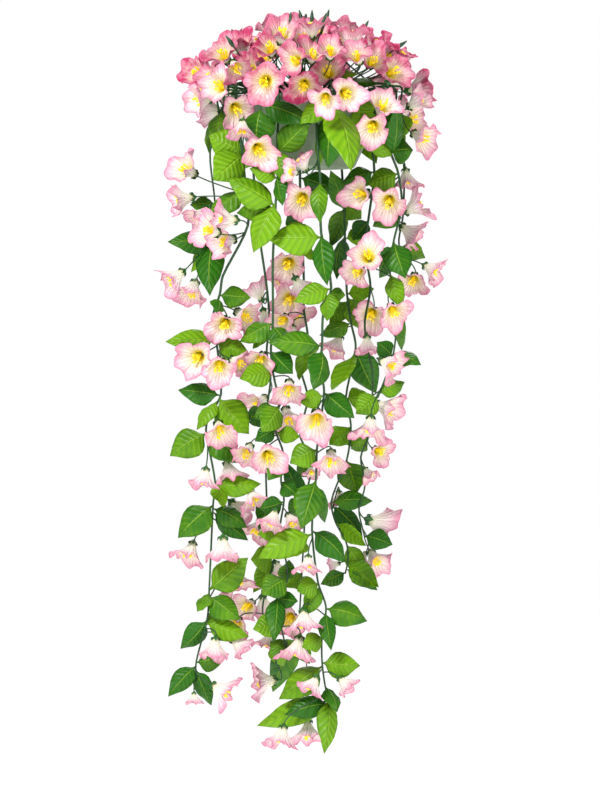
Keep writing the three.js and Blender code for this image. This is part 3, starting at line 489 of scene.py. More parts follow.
def frame_along(heading, roll):
    return UP_LOCAL.rotation_difference(heading) @ Quaternion(UP_LOCAL, roll)


def lip_points(foot, turn, size):
    """The points of a bloom's rim, as its solid has them."""
    points = []
    for i in range(2 * LOBES):
        angle = math.pi * i / LOBES
        lobe = math.cos(LOBES * angle)
        radius = BLOOM_RADIUS * size * (1 + LOBE_CUT * lobe)
        height = BLOOM_DEPTH * size - LOBE_WAVE * lobe + PETAL_THICKNESS
        points.append(turn @ Vector((radius * math.sin(angle), height, radius * math.cos(angle)))
                      + foot)
    return points


def leaf_frame(organ, shift):
    """A leaf's tip and its directions along, out of its face and across."""
    tip = organ["tip"] + Vector((0, shift, 0))
    along = (tip - organ["base"]).normalized()
    normal = (organ["face"] - along * organ["face"].dot(along)).normalized()
    return tip, along, normal, normal.cross(along)


def marks(organ, shift):
    """Points that the organ's solid has when it is settled at this shift in depth."""
    if organ["kind"] == "leaf":
        tip, _, normal, _ = leaf_frame(organ, shift)
        return [tip + normal * LEAF_THICKNESS / 2, tip - normal * LEAF_THICKNESS / 2]
    if organ["kind"] == "bud":
        return [organ["tip"] + Vector((0, shift, 0))]
    heading = organ["heading"]
    foot = organ["middle"] - heading * BLOOM_MIDDLE * organ["size"] + Vector((0, shift, 0))
    return lip_points(foot, frame_along(heading, organ["roll"]), organ["size"])


def settle(plant):
    """Keeps the organs that the plant's solid has, each with the shift in depth it has there."""
    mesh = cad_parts[plant.name].data
    tree = kdtree.KDTree(len(mesh.vertices))
    for i, vertex in enumerate(mesh.vertices):
        tree.insert(vertex.co / MM, i)
    tree.balance()
    kept = []
    for organ in plant.organs:
        found = {}
        for shift in DEPTH_SHIFTS:
            found[shift] = sum(tree.find(point)[2] < MATCH_WITHIN for point in marks(organ, shift))
        organ["shift"] = max(DEPTH_SHIFTS, key=lambda shift: found[shift])
        if found[organ["shift"]]:
            kept.append(organ)
    plant.organs = kept


plants = [
    *[vine_plant(name, stops) for name, stops in VINES.items()],
    *[front_spray(i, *spray) for i, spray in enumerate(HEAD_SPRAYS)],
    *[back_spray(i, azimuth) for i, azimuth in enumerate(BACK_SPRAY_AZIMUTHS)],
    *[back_shoot(i, azimuth) for i, azimuth in enumerate(BACK_SHOOT_AZIMUTHS)],
]
for plant in plants:
    settle(plant)


# ---- materials ----


def colour(red, green, blue):
    """A screen colour, 0 to 255, as the shader's linear one."""
    linear = [c / 255 / 12.92 if c <= 10 else ((c / 255 + 0.055) / 1.055) ** 2.4
              for c in (red, green, blue)]
    return (*linear, 1)


class Value:
    """A socket that carries a number, for writing shader maths as expressions."""

    def __init__(self, look, socket):
        self.look = look
        self.socket = socket

    def maths(self, operation, *others):
        return self.look.maths(operation, self, *others)

    def __add__(self, other):
        return self.maths("ADD", other)

    __radd__ = __add__

    def __sub__(self, other):
        return self.maths("SUBTRACT", other)

    def __rsub__(self, other):
        return self.look.maths("SUBTRACT", other, self)

    def __mul__(self, other):
        return self.maths("MULTIPLY", other)

    __rmul__ = __mul__

    def __truediv__(self, other):
        return self.maths("DIVIDE", other)

    def __pow__(self, other):
        return self.maths("POWER", other)

    def __abs__(self):
        return self.maths("ABSOLUTE")


class Look:
    """A material and its shader's nodes."""

    def __init__(self, name):
        self.material = bpy.data.materials.new(name)
        self.material.use_nodes = True
        self.tree = self.material.node_tree
        self.shader = self.tree.nodes["Principled BSDF"]

    def node(self, kind, settings, inputs):
        made = self.tree.nodes.new(kind)
        for key, value in settings.items():
            setattr(made, key, value)
        for key, value in inputs.items():
            self.feed(made.inputs[key], value)
        return made

    def feed(self, socket, value):
        if isinstance(value, Value):
            self.tree.links.new(value.socket, socket)
        else:
            socket.default_value = value

    def maths(self, operation, *values):
        inputs = dict(enumerate(values))
        made = self.node("ShaderNodeMath", {"operation": operation}, inputs)
        return Value(self, made.outputs[0])

    def between(self, value, low, high):
        """0 below low, 1 above high and smooth between."""
        made = self.node("ShaderNodeMapRange", {"interpolation_type": "SMOOTHSTEP"},
                         {"Value": value, "From Min": low, "From Max": high})
        return Value(self, made.outputs[0])

    def mix(self, share, first, second, kind="MIX"):
        made = self.node("ShaderNodeMix", {"data_type": "RGBA", "blend_type": kind},
                         {0: share, 6: first, 7: second})
        return Value(self, made.outputs[2])

    def ramp(self, share, stops):
        made = self.node("ShaderNodeValToRGB", {}, {0: share})
        ends = made.color_ramp.elements
        for place, _ in stops[2:]:
            ends.new(place)
        for end, (place, _) in zip(ends, stops):
            end.position = place
        for end, (_, tone) in zip(ends, stops):
            end.color = tone
        return Value(self, made.outputs[0])

    def spots(self, scale, detail=3, rough=0.5):
        """Noise on the object's own coordinates."""
        place = self.tree.nodes.new("ShaderNodeTexCoord").outputs["Object"]
        made = self.node("ShaderNodeTexNoise", {},
                         {"Vector": Value(self, place), "Scale": scale, "Detail": detail,
                          "Roughness": rough})
        return Value(self, made.outputs["Fac"])

    def surface(self):
        """Where a point lies on its grid: across and along, 0 to 1."""
        made = self.node("ShaderNodeUVMap", {}, {})
        parts = self.node("ShaderNodeSeparateXYZ", {}, {0: Value(self, made.outputs[0])})
        return Value(self, parts.outputs[0]), Value(self, parts.outputs[1])

    def attribute(self, name):
        made = self.node("ShaderNodeAttribute", {"attribute_name": name}, {})
        return Value(self, made.outputs["Fac"])

    def bump(self, height, distance, strength=1.0):
        made = self.node("ShaderNodeBump", {},
                         {"Height": height, "Distance": distance, "Strength": strength})
        self.tree.links.new(made.outputs[0], self.shader.inputs["Normal"])

    def finish(self, **sockets):
        for key, value in sockets.items():
            self.feed(self.shader.inputs[key.replace("_", " ")], value)
        return self.material


def petal_look(name, stops, vein, vein_share):
    look = Look(name)
    round_it, along = look.surface()
    tint = look.attribute("tint")
    wander = look.spots(160, 2) * 0.05
    pleats = (round_it * 23 + wander * 23).maths("MULTIPLY", 2 * math.pi).maths("SINE")
    veins = ((round_it * 55 + wander * 40) * (2 * math.pi)).maths("SINE")
    lines = look.between(veins, 0.35, 1.0) * look.between(along, 0.45, 0.9)
    base = look.ramp(along + (look.spots(60, 3) - 0.5) * 0.16 + pleats * 0.02, stops)
    # Blotches where the rim pink runs deeper: partly the petals' own uneven pink, partly painted shade
    # of their crumpled folds.
    pink_and_crumple_shade = 0.6 + look.between(look.spots(75, 2), 0.38, 0.62) * 0.6
    deep = look.mix(look.between(along, 0.3, 0.85) * tint * pink_and_crumple_shade, base, colour(182, 54, 98))
    veined = look.mix(lines * vein_share, deep, vein)
    # Darker pink multiplied into the pleat troughs: painted shade in the creases of the petals.
    pleat_shade = look.mix(look.between(pleats, -1.0, 0.2), colour(224, 190, 206), (1, 1, 1, 1))
    tone = look.mix(0.55, veined, pleat_shade, "MULTIPLY")
    look.bump(pleats * 0.6 + veins * 0.1 + look.spots(200, 3) * 0.8, 0.0011, 0.6)
    # The petals glow faintly in their own colour: painted light that stands for light shining through
    # the thin petals.
    return look.finish(Base_Color=tone, Roughness=0.5 + look.spots(150, 2) * 0.2,
                       Specular_IOR_Level=0.15, Emission_Color=tone, Emission_Strength=0.1)


def leaf_look(name, painted_lit_green, dark, vein, rib_depth):
    look = Look(name)
    across, along = look.surface()
    tint = look.attribute("tint")
    side = abs(across - 0.5) * 2
    midrib = 1 - look.between(side, 0.015, 0.075)
    turned = along * 8.0 - side * 1.4 + (look.spots(90, 2) - 0.5) * 0.3
    stripe = abs(turned.maths("FRACT") - 0.5) * 2
    ribs = look.between(stripe, 0.86, 0.985) * (1 - look.between(side, 0.86, 1.0))
    patch = look.spots(45, 3)
    # Each leaf and patch lies between the dark and the bright green: painted shade and painted light,
    # as if some leaves were shaded and others lit.
    base = look.mix(look.between(patch * 0.6 + tint * 0.7, 0.35, 0.95), dark, painted_lit_green)
    # The green darkens midway between the ribs: painted shade across the pleats.
    shaded = look.mix((1 - stripe) * 0.45, base, dark)
    lined = look.mix(ribs * 0.22, shaded, vein)
    whole = look.mix(midrib * 0.5, lined, vein)
    look.bump((1 - stripe) * 0.6 - midrib * 1.2 - ribs * 0.5 + look.spots(420, 3) * 0.25,
              rib_depth, 0.8)
    return look.finish(Base_Color=whole, Roughness=0.3 + look.spots(120, 3) * 0.2,
                       Specular_IOR_Level=0.22)


def plain_look(name, low, high, scale, roughness, depth, **more):
    look = Look(name)
    patch = look.spots(scale, 4, 0.6)
    tone = look.mix(look.between(patch, 0.3, 0.7), low, high)
    look.bump(look.spots(scale * 4, 4, 0.6), depth, 0.6)
    return look.finish(Base_Color=tone, Roughness=roughness + patch * 0.15, **more)


def soil_look():
    look = Look("potting_mix")
    crumbs = look.spots(260, 5, 0.7)
    flecks = look.between(look.spots(700, 2), 0.66, 0.72)
    dark = look.mix(look.between(crumbs, 0.35, 0.7), colour(36, 24, 16), colour(88, 62, 42))
    look.bump(crumbs + flecks * 0.4, 0.004, 1.0)
    return look.finish(Base_Color=look.mix(flecks * 0.7, dark, colour(205, 196, 180)),
                       Roughness=0.9)


PETAL_IN = petal_look("petal_inside", [
    (0.0, colour(204, 188, 10)), (0.22, colour(232, 212, 24)), (0.36, colour(234, 226, 120)),
    (0.48, colour(234, 228, 204)), (0.72, colour(234, 218, 212)), (0.88, colour(224, 180, 192)),
    (1.0, colour(208, 134, 160))], colour(190, 104, 138), 0.34)
PETAL_OUT = petal_look("petal_outside", [
    (0.0, colour(194, 208, 110)), (0.14, colour(226, 230, 172)), (0.34, colour(234, 234, 212)),
    (0.58, colour(232, 222, 214)), (0.78, colour(228, 198, 204)), (0.92, colour(216, 162, 180)),
    (1.0, colour(202, 128, 154))], colour(186, 110, 142), 0.34)
# The first two greens of each leaf face are its painted lit tone and its painted shaded tone.
LEAF_TOP = leaf_look("leaf_top", colour(116, 170, 0), colour(12, 72, 0),
                     colour(150, 192, 30), 0.0018)
LEAF_UNDER = leaf_look("leaf_under", colour(116, 164, 10), colour(34, 94, 6),
                     colour(148, 188, 60), 0.0012)
STEM = plain_look("stem_green", colour(8, 44, 18), colour(26, 82, 28), 180, 0.4, 0.0004)
CALYX_LOOK = plain_look("calyx_green", colour(10, 58, 18), colour(46, 112, 34), 160, 0.4, 0.0004)
# The stamens glow faintly yellow: painted light that keeps them bright where they lie in shade.
STAMEN = plain_look("stamen_yellow", colour(250, 218, 8), colour(255, 238, 60), 300, 0.5, 0.0003,
                    Emission_Color=colour(255, 226, 20), Emission_Strength=0.2)
BUD_LOOK = plain_look("bud_green", colour(6, 40, 20), colour(20, 78, 34), 220, 0.35, 0.0005)
# A petal's or leaf's near face takes its own look, and its far face the next in this list.
PLANT_LOOKS = [PETAL_OUT, PETAL_IN, LEAF_TOP, LEAF_UNDER, STEM, CALYX_LOOK, STAMEN, BUD_LOOK]
IN_PETAL, IN_LEAF, IN_STEM, IN_CALYX, IN_STAMEN, IN_BUD = 0, 2, 4, 5, 6, 7

# ---- masters, modelled once ----

# A bloom's section from its foot along the tube and the flare to its lip: radius and height.
FUNNEL = [[1.2, 0], [2.6, 2.8], [4.1, 5.8], [5.7, 9.0], [7.5, 12.4], [9.5, 15.6], [11.8, 18.8],
          [14.2, 21.8], [16.7, 24.6], [19.2, 27.2], [21.0, 29.2]]
CALYX = [[1.3, -1.2], [2.5, 0.4], [3.6, 2.2], [4.9, 4.6], [6.7, 7.8]]
BUD = [[0.9, 0], [2.0, 2.2], [2.7, 6], [2.3, 10.5], [1.4, 15], [0.5, 18.6]]
TUBE_SHARE = 0.35
RUFFLE = 2.6
FINE_RUFFLE = 0.9
CRUMPLE = 1.6
LEAN_LIFT = 18
CALYX_TOOTH = 5.0
FILAMENTS = 9
FILAMENT_RADIUS = 0.55
ANTHER_RADIUS = 1.25
PETAL_ROUND = 60
PETAL_SHELL = 0.35


def fresh(name):
    """The object that an operator has just added, renamed."""
    made = bpy.context.object
    made.name = made.data.name = name
    return made


def only(*objects):
    bpy.ops.object.select_all(action="DESELECT")
    for item in objects:
        item.select_set(True)
    bpy.context.view_layer.objects.active = objects[0]


def add_looks(item, slot):
    """Gives every plant piece the same list of looks, and this one's faces the slot's look."""
    for look in PLANT_LOOKS:
        item.data.materials.append(look)
    item.data.polygons.foreach_set("material_index", [slot] * len(item.data.polygons))


def grid(name, across, along, slot):
    """A flat grid from 0 to 1 both ways, whose UV map says where each point lies on it."""
    bpy.ops.object.select_all(action="DESELECT")
    bpy.ops.mesh.primitive_grid_add(x_subdivisions=across, y_subdivisions=along, size=1,
                                    location=(0.5, 0.5, 0))
    made = fresh(name)
    bpy.ops.object.transform_apply(location=True)
    add_looks(made, slot)
    return made


def flat_points(item):
    points = np.empty(len(item.data.vertices) * 3)
    item.data.vertices.foreach_get("co", points)
    return points.reshape(-1, 3)


def wave(angle, count, phase):
    return np.sin(count * angle + phase)


def on_profile(share, profile):
    """The radius and height at each share of the way along a profile."""
    along = share * (len(profile) - 1)
    stations = np.arange(len(profile))
    return (np.interp(along, stations, [r for r, _ in profile]),
            np.interp(along, stations, [h for _, h in profile]))


def funnel_points(flat, size, seed):
    """Wraps a flat grid into a ruffled trumpet round +Y."""
    angle = 2 * np.pi * flat[:, 0]
    radius, height = on_profile(flat[:, 1], FUNNEL)
    flare = np.clip((flat[:, 1] - TUBE_SHARE) / (1 - TUBE_SHARE), 0, 1)
    a, b, c, d = (2 * np.pi * spread(seed + k) for k in (2, 11, 23, 31))
    # The lobes are broad and differ in width, with narrow notches between them.
    lobe = 1 - 2 * np.abs(np.sin(LOBES * (angle + 0.16 * wave(angle, 2, c)) / 2)) ** 5
    # Each lobe leans in or out by itself, and its edge is ruffled and crumpled.
    lean = 0.13 * wave(angle, 2, a) + 0.10 * wave(angle, 3, d)
    radius = radius * (1.0 + 0.75 * LOBE_CUT * flare * lobe + flare * lean)
    ruffle = RUFFLE * wave(angle, 6, b) + FINE_RUFFLE * wave(angle, 11, c)
    crumple = (CRUMPLE * wave(angle + 1.3 * flat[:, 1], 5, c)
               * wave(angle - 0.8 * flat[:, 1], 8, b))
    rise = ruffle - 0.7 * LOBE_WAVE * lobe + LEAN_LIFT * lean
    height = height + flare**2 * rise + flare * crumple
    radius = radius + flare * 0.4 * wave(angle, 15, d) + flare**3 * 0.9 * wave(angle, 7, c)
    return wrapped(angle, radius * size, height * size)


def wrapped(angle, radius, height):
    return np.stack([radius * np.sin(angle), height, radius * np.cos(angle)], axis=1)


def calyx_points(flat, size):
    """A cup that ends in five narrow teeth."""
    angle = 2 * np.pi * flat[:, 0]
    radius, height = on_profile(flat[:, 1], CALYX)
    between = 0.5 - 0.5 * np.cos(LOBES * angle + np.pi)
    split = np.clip((flat[:, 1] - 0.45) / 0.55, 0, 1)
    return wrapped(angle, radius * size, (height - between**0.5 * split * CALYX_TOOTH) * size)


def bud_points(flat):
    angle = 2 * np.pi * flat[:, 0]
    radius, height = on_profile(flat[:, 1], BUD)
    twist = angle + 1.4 * flat[:, 1]
    return wrapped(twist, radius * (1 + 0.12 * np.cos(5 * angle)), height)


def leaf_outline(share):
    """Half the width of a leaf, as a share of its full width, along its length."""
    stations = [0, 0.06, 0.1, 0.18, 0.3, 0.42, 0.55, 0.68, 0.8, 0.9, 0.96, 1]
    widths = [0.03, 0.03, 0.07, 0.29, 0.45, 0.495, 0.46, 0.37, 0.245, 0.125, 0.05, 0.004]
    return np.interp(share, stations, widths)


def leaf_points(flat, organ, seed):
    """Lays a flat grid along a leaf's base and tip, arched and folded as its solid is."""
    tip, along, normal, across = leaf_frame(organ, organ["shift"])
    length = (tip - organ["base"]).length
    u, side = flat[:, 1], 2 * flat[:, 0] - 1
    half = leaf_outline(u) * organ["width"] * 1.04
    a, b = 2 * np.pi * spread(seed + 5), 2 * np.pi * spread(seed + 9)
    edge = np.abs(side) ** 3 * np.clip(half / 6, 0, 1)
    rise = LEAF_ARCH * length * 4 * u * (1 - u) - LEAF_FOLD * half * np.abs(side) ** 0.8
    rise = rise + edge * (1.3 * wave(u * 10, 1, a) + 0.6 * wave(u * 23, 1, b))
    quilt = np.abs(np.sin(np.pi * (u * 8 - np.abs(side) * 1.4))) * np.clip(half / 8, 0, 1)
    rise = rise + quilt * (1 - side**2) * 1.0
    bend = np.sin(np.pi * u) * length * 0.03 * math.sin(a)
    place = (np.outer(u * length, along) + np.outer(side * half + bend, across)
             + np.outer(rise, normal))
    return place + np.array(organ["base"])


def copied(master, points, tint):
    """A copy of a master with a mesh of its own, its points placed, in millimetres."""
    made = bpy.data.objects.new(master.name + "_copy", master.data.copy())
    bpy.context.collection.objects.link(made)
    made.data.vertices.foreach_set("co", (np.asarray(points) * MM).ravel())
    shade = made.data.attributes.new("tint", "FLOAT", "POINT")
    shade.data.foreach_set("value", [tint] * len(made.data.vertices))
    return made


def turned_by(points, turn, foot):
    matrix = np.array(turn.to_matrix())
    return points @ matrix.T + np.array(foot)


def closed_up(item):
    """Joins the seam of a wrapped grid."""
    shape = bmesh.new()
    shape.from_mesh(item.data)
    bmesh.ops.remove_doubles(shape, verts=shape.verts, dist=1e-6)
    shape.to_mesh(item.data)
    shape.free()


def along_curve(start, middle, end, count):
    """Points of a quadratic bend from start to end, drawn towards the middle."""
    shares = [i / count for i in range(count + 1)]
    return [start * (1 - t) ** 2 + middle * 2 * t * (1 - t) + end * t * t for t in shares]


def smooth_route(stops, parts):
    """Points on a smooth line through the stops."""
    points = []
    for i in range(len(stops) - 1):
        before = stops[max(i - 1, 0)]
        here, there = stops[i], stops[i + 1]
        after = stops[min(i + 2, len(stops) - 1)]
        reach = (there - here).length / 3
        leave = ((there - before).normalized()) * reach * 0.8
        arrive = ((after - here).normalized()) * reach * 0.8
        for k in range(parts):
            t = k / parts
            points.append(here * (1 - t) ** 3 + (here + leave) * 3 * t * (1 - t) ** 2
                          + (there - arrive) * 3 * t * t * (1 - t) + there * t**3)
    return points + [stops[-1]]


def rods(name, routes, slot, sides=3):
    """Round rods along routes, each a list of (point, radius), as one mesh."""
    curve = bpy.data.curves.new(name, "CURVE")
    curve.dimensions = "3D"
    curve.bevel_depth = 1
    curve.bevel_resolution = sides - 2
    curve.use_fill_caps = True
    for route in routes:
        spline = curve.splines.new("POLY")
        spline.points.add(len(route) - 1)
        for point, (place, radius) in zip(spline.points, route):
            point.co = (*(place * MM), 1)
            point.radius = radius * MM
    holder = bpy.data.objects.new(name, curve)
    bpy.context.collection.objects.link(holder)
    only(holder)
    bpy.ops.object.convert(target="MESH")
    made = bpy.context.object
    add_looks(made, slot)
    return made


def joined(name, items):
    only(*items)
    bpy.ops.object.join()
    made = bpy.context.object
    made.name = made.data.name = name
    return made


# ---- the plants ----

petal_master = grid("petal_master", PETAL_ROUND, 12, IN_PETAL)
calyx_master = grid("calyx_master", 20, 4, IN_CALYX)
bud_master = grid("bud_master", 10, 6, IN_BUD)
leaf_master = grid("leaf_master", 8, 26, IN_LEAF)
masters = {item.name: flat_points(item)
           for item in (petal_master, calyx_master, bud_master, leaf_master)}


def filaments(turn, foot, size, seed):
    """Routes of a bloom's stamens, from its throat to a little beyond it."""
    routes = []
    for k in range(FILAMENTS):
        angle = 2 * math.pi * (k + spread(seed + k)) / FILAMENTS
        lean = 2.2 + 3.4 * spread(seed + 3 * k)
        tall = 21.5 + 5.5 * spread(seed + 5 * k)
        out = Vector((math.sin(angle), 0, math.cos(angle)))
        path = [(out * 0.8 + UP_LOCAL * 7, FILAMENT_RADIUS),
                (out * lean * 0.5 + UP_LOCAL * 14, FILAMENT_RADIUS),
                (out * lean + UP_LOCAL * (tall - 3.2), FILAMENT_RADIUS),
                (out * lean * 1.08 + UP_LOCAL * (tall - 2.2), ANTHER_RADIUS),
                (out * lean * 1.16 + UP_LOCAL * tall, ANTHER_RADIUS),
                (out * lean * 1.2 + UP_LOCAL * (tall + 0.9), 0.4)]
        routes.append([(turn @ (point * size) + foot, radius) for point, radius in path])
    return routes


def dressed_bloom(organ, seed, tint, pieces):
    """Adds a bloom's petals and calyx to the pieces, and returns its stalk and stamens."""
    heading, size = organ["heading"], organ["size"]
    foot = organ["middle"] - heading * BLOOM_MIDDLE * size + Vector((0, organ["shift"], 0))
    turn = frame_along(heading, organ["roll"])
    petals = funnel_points(masters["petal_master"], size, seed)
    cup = calyx_points(masters["calyx_master"], size)
    pieces["sheets"].append(copied(petal_master, turned_by(petals, turn, foot), tint))
    pieces["solids"].append(copied(calyx_master, turned_by(cup, turn, foot), tint))
    lead = min(14, (foot - organ["base"]).length * 0.45)
    bend = along_curve(organ["base"], foot - heading * lead, foot + heading * 0.5,
                       STALK_BENDS)
    stalk = [(point, STALK_THICKNESS - STALK_TAPER * i / STALK_BENDS)
             for i, point in enumerate(bend)]
    return [stalk], filaments(turn, foot, size, seed)


def dressed_bud(organ, tint, pieces):
    tip = organ["tip"] + Vector((0, organ["shift"], 0))
    heading = with_y(organ["tip"] - organ["base"], 0).normalized()
    foot = tip - heading * BUD_LENGTH
    points = bud_points(masters["bud_master"])
    pieces["solids"].append(copied(bud_master, turned_by(points, frame_along(heading, 0), foot),
                                   tint))
    bend = along_curve(organ["base"], foot - heading * 10, foot + heading, STALK_BENDS)
    return [[(point, BUD_STALK_THICKNESS) for point in bend]]


def stem_route(plant):
    points = smooth_route(plant.stem, 5)
    last = len(points) - 1
    return [(point, STEM_THICKNESS - STEM_TAPER * i / last) for i, point in enumerate(points)]


def thickened(sheets):
    """Gives the joined petals and leaves their thickness; the far face takes the next look."""
    only(sheets)
    shell = sheets.modifiers.new("shell", "SOLIDIFY")
    shell.thickness = PETAL_SHELL * MM
    shell.offset = 0
    shell.material_offset = 1
    shell.material_offset_rim = 0
    bpy.ops.object.modifier_apply(modifier=shell.name)


def head_tint(in_head, i):
    """How deep a bloom's pink is: deeper in the head than on the vines."""
    least, more = (0.55, 0.45) if in_head else (0, 0.08)
    return least + more * spread(i + 2)


def dressed(plant):
    in_head = plant.name.startswith("head")
    pieces = {"sheets": [], "solids": []}
    stalks, stamens = [stem_route(plant)], []
    for i, organ in enumerate(plant.organs):
        tint = head_tint(in_head, i)
        if organ["kind"] == "leaf":
            points = leaf_points(masters["leaf_master"], organ, i)
            # A leaf's tint sets how far it leans to the painted lit green rather than the painted
            # shaded one.
            pieces["sheets"].append(copied(leaf_master, points, spread(i * 3 + len(plant.name))))
        elif organ["kind"] == "bloom":
            stalk, threads = dressed_bloom(organ, i + len(plant.name), tint, pieces)
            stalks += stalk
            stamens += threads
        else:
            stalks += dressed_bud(organ, tint, pieces)
    parts = []
    if pieces["sheets"]:
        sheets = joined(plant.name + "_sheets", pieces["sheets"])
        closed_up(sheets)
        thickened(sheets)
        parts.append(sheets)
    parts.append(rods(plant.name + "_stalks", stalks, IN_STEM, 3))
    if stamens:
        parts.append(rods(plant.name + "_stamens", stamens, IN_STAMEN, 2))
    if pieces["solids"]:
        solids = joined(plant.name + "_solids", pieces["solids"])
        closed_up(solids)
        parts.append(solids)
    piece = joined("dressed_" + plant.name, parts)
    only(piece)
    bpy.ops.object.shade_smooth()
    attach(piece, "root")
    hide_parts(plant.name)
    return piece


for plant in plants:
    dressed(plant)
for item in (petal_master, calyx_master, bud_master, leaf_master):
    bpy.data.objects.remove(item)

# ---- pot, soil, ring and wires ----


def spun(name, profile, look, steps=96):
    """A closed shape turned round the Z axis from its section, a list of (radius, z)."""
    bpy.ops.object.select_all(action="DESELECT")
    bpy.ops.mesh.primitive_plane_add(size=1)
    made = fresh(name)
    shape = bmesh.new()
    points = [shape.verts.new((radius * MM, 0, z * MM)) for radius, z in profile]
    for start, end in zip(points, points[1:]):
        shape.edges.new((start, end))
    shape.to_mesh(made.data)
    shape.free()
    bpy.ops.object.mode_set(mode="EDIT")
    bpy.ops.mesh.select_all(action="SELECT")
    bpy.ops.mesh.spin(steps=steps, angle=2 * math.pi, center=(0, 0, 0), axis=(0, 0, 1))
    bpy.ops.mesh.select_all(action="SELECT")
    bpy.ops.mesh.remove_doubles(threshold=1e-6)
    bpy.ops.mesh.normals_make_consistent(inside=False)
    bpy.ops.object.mode_set(mode="OBJECT")
    made.data.materials.append(look)
    only(made)
    bpy.ops.object.shade_smooth_by_angle(angle=math.radians(40))
    return made


def placed(piece, node):
    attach(piece, "root")
    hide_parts(node)
    return piece


POT_LOOK = plain_look("pot_plastic", colour(84, 104, 76), colour(116, 134, 104), 30, 0.45, 0.0004)
WIRE_LOOK = plain_look("wire_coat", colour(22, 44, 30), colour(40, 68, 46), 90, 0.35, 0.0003)

under = RIM_TOP - FLANGE_THICKNESS
pot = spun("pot_shell", [
    (0, POT_BOTTOM), (POT_BASE_RADIUS - 2, POT_BOTTOM), (POT_BASE_RADIUS, POT_BOTTOM + 1.6),
    (71, -171), (80, -149.5), (88.5, -128.6), (POT_TOP_RADIUS - 1, under - 3),
    (POT_TOP_RADIUS + 1.4, under), (FLANGE_RADIUS - 0.8, under), (FLANGE_RADIUS, under + 0.8),
    (FLANGE_RADIUS, RIM_TOP - 0.8), (FLANGE_RADIUS - 0.8, RIM_TOP),
    (POT_TOP_RADIUS - POT_WALL + 0.8, RIM_TOP), (POT_TOP_RADIUS - POT_WALL, RIM_TOP - 0.8),
    (POT_BASE_RADIUS - POT_WALL, POT_BOTTOM + POT_WALL), (0, POT_BOTTOM + POT_WALL)], POT_LOOK)
placed(pot, "pot")


def soil_radius(z):
    floor = POT_BOTTOM + POT_WALL
    share = (z - floor) / (RIM_TOP - floor)
    return POT_BASE_RADIUS - POT_WALL + share * (POT_TOP_RADIUS - POT_BASE_RADIUS) - 0.6


CRUMBS_RADIUS = 91

soil_bottom = POT_BOTTOM + POT_WALL + FIT_GAP
top_rings = [(soil_radius(SOIL_TOP) * (1 - k / 24), SOIL_TOP) for k in range(24)]
soil = spun("soil_crumbs", [(0, soil_bottom), (soil_radius(soil_bottom), soil_bottom), *top_rings,
                            (0, SOIL_TOP)], soil_look())
for vertex in soil.data.vertices:
    if vertex.co.z > (SOIL_TOP - 0.5) * MM and vertex.co.xy.length < CRUMBS_RADIUS * MM:
        a, b = vertex.co.x / MM, vertex.co.y / MM
        bumps = math.sin(a * 0.9 + 1.3 * math.sin(b * 0.5)) + math.sin(b * 1.1 + math.sin(a * 0.7))
        vertex.co.z += (bumps * 0.7 - 0.6) * MM
placed(soil, "soil")

bpy.ops.object.select_all(action="DESELECT")
bpy.ops.mesh.primitive_torus_add(major_radius=RING_RADIUS * MM, minor_radius=RING_WIRE_RADIUS * MM,
                                 major_segments=64, minor_segments=16,
                                 location=(0, 0, RING_CENTRE * MM),
                                 rotation=(0, math.pi / 2, 0))
ring = fresh("ring_wire")
bpy.ops.object.transform_apply(location=True, rotation=True)
ring.data.materials.append(WIRE_LOOK)
bpy.ops.object.shade_smooth()
placed(ring, "ring")


def leg_stops(azimuth, side, seat):
    out = Vector((0, math.sin(math.radians(seat)), -math.cos(math.radians(seat))))
    over = out * RING_RADIUS + Vector((0, 0, RING_CENTRE))
    stops = []
    for angle in range(HOOK_ARC, -1, -HOOK_STEP):
        turn = math.radians(angle)
        hook = out * (-HOOK_RADIUS * math.sin(turn))
        stops.append(over + hook + Vector((side * HOOK_RADIUS * math.cos(turn), 0, 0)))
    low = RIM_TOP - FLANGE_THICKNESS - FIT_GAP - LEG_RADIUS
    foot = polar(azimuth, LEG_EYE_RADIUS, low)
    along = polar(azimuth + 90, LEG_FOOT, 0)
    stops += [polar(azimuth, LEG_EYE_RADIUS, RIM_TOP + LEG_DROP), with_z(foot, low + 1.5)]
    return stops + [foot + along * 0.18, foot + along]


for i, azimuth in enumerate(LEG_AZIMUTHS):
    stops = leg_stops(azimuth, LEG_SIDES[i], LEG_SEATS[i])
    leg = rods(f"wire_leg_{i + 1}", [[(point, LEG_RADIUS) for point in stops]], 0, 5)
    leg.data.materials.clear()
    leg.data.materials.append(WIRE_LOOK)
    only(leg)
    bpy.ops.object.shade_smooth()
    placed(leg, f"hanger_wire_{i + 1}")

# ---- floor, light and camera ----

MIDDLE_ACROSS = 300
MIDDLE_DOWN = 400
VIEW_CENTRE = Vector(((MIDDLE_ACROSS - AXIS_ACROSS) * STEP * MM, 0,
                      (SEAT_DOWN - MIDDLE_DOWN) * STEP * MM))
VIEW_HEIGHT = 2 * MIDDLE_DOWN * STEP * MM
VIEW_DISTANCE = 6.0
FRONT_PLANE = -0.06
FLOOR = -1.35
LIGHTS_AIM = Vector((0, 0, -0.45))
SENSOR = 24
AMBIENT = 0.36


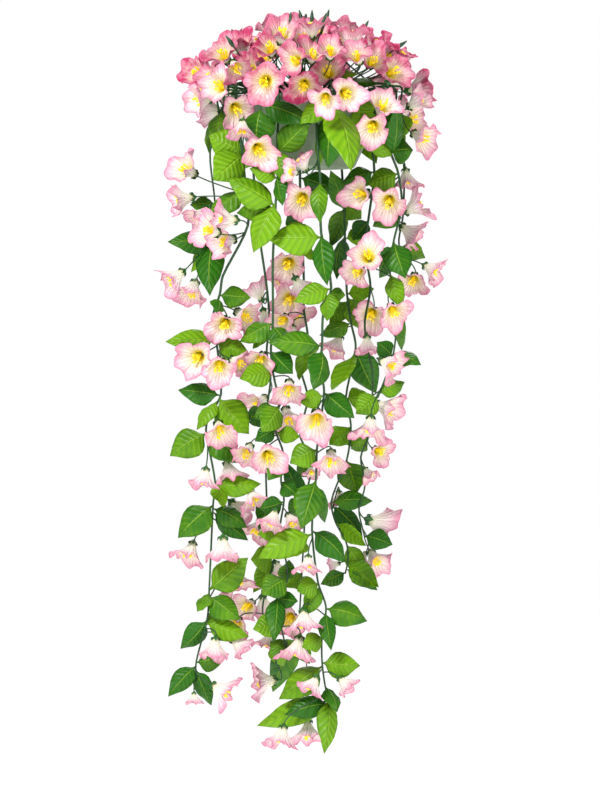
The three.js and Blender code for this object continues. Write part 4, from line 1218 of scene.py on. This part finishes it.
def white_look():
    look = Look("studio_white")
    haze = look.spots(1.5, 2)
    tone = look.mix(look.between(haze, 0.3, 0.7), colour(250, 250, 250), colour(254, 254, 254))
    return look.finish(Base_Color=tone, Roughness=0.8, Emission_Color=(1, 1, 1, 1),
                       Emission_Strength=0.66)


bpy.ops.object.select_all(action="DESELECT")
bpy.ops.mesh.primitive_plane_add(size=40, location=(0, 0, FLOOR))
floor = fresh("studio_floor")
bpy.ops.object.transform_apply(location=True)
floor.data.materials.append(white_look())

bpy.context.scene.view_settings.view_transform = "Standard"
world = bpy.data.worlds.new("studio")
bpy.context.scene.world = world
world.use_nodes = True
sky = world.node_tree.nodes["Background"]
sky.inputs["Color"].default_value = (1, 1, 1, 1)
rays = world.node_tree.nodes.new("ShaderNodeLightPath")
strength = world.node_tree.nodes.new("ShaderNodeMapRange")
strength.inputs["To Min"].default_value = AMBIENT
strength.inputs["To Max"].default_value = 1.0
world.node_tree.links.new(rays.outputs["Is Camera Ray"], strength.inputs["Value"])
world.node_tree.links.new(strength.outputs["Result"], sky.inputs["Strength"])


def panel(name, place, size, power):
    """A square soft light that faces the basket."""
    light = bpy.data.lights.new(name, "AREA")
    light.shape = "SQUARE"
    light.size = size
    light.energy = power
    holder = bpy.data.objects.new(name, light)
    bpy.context.scene.collection.objects.link(holder)
    holder.location = place
    aim = LIGHTS_AIM - Vector(place)
    holder.rotation_euler = aim.to_track_quat("-Z", "Y").to_euler()


panel("key_panel", (-1.3, -2.2, 1.4), 0.9, 108)
panel("fill_panel", (2.0, -2.4, -0.4), 1.8, 36)
panel("back_panel", (0.3, 2.4, 1.4), 1.6, 40)

camera = bpy.data.cameras.new("camera")
camera.sensor_fit = "VERTICAL"
camera.sensor_height = SENSOR
camera.lens = SENSOR * (VIEW_DISTANCE + FRONT_PLANE) / VIEW_HEIGHT
camera.clip_end = 100
holder = bpy.data.objects.new("camera", camera)
bpy.context.scene.collection.objects.link(holder)
holder.location = (VIEW_CENTRE.x, -VIEW_DISTANCE, VIEW_CENTRE.z)
holder.rotation_euler = (math.pi / 2, 0, 0)
bpy.context.scene.camera = holder
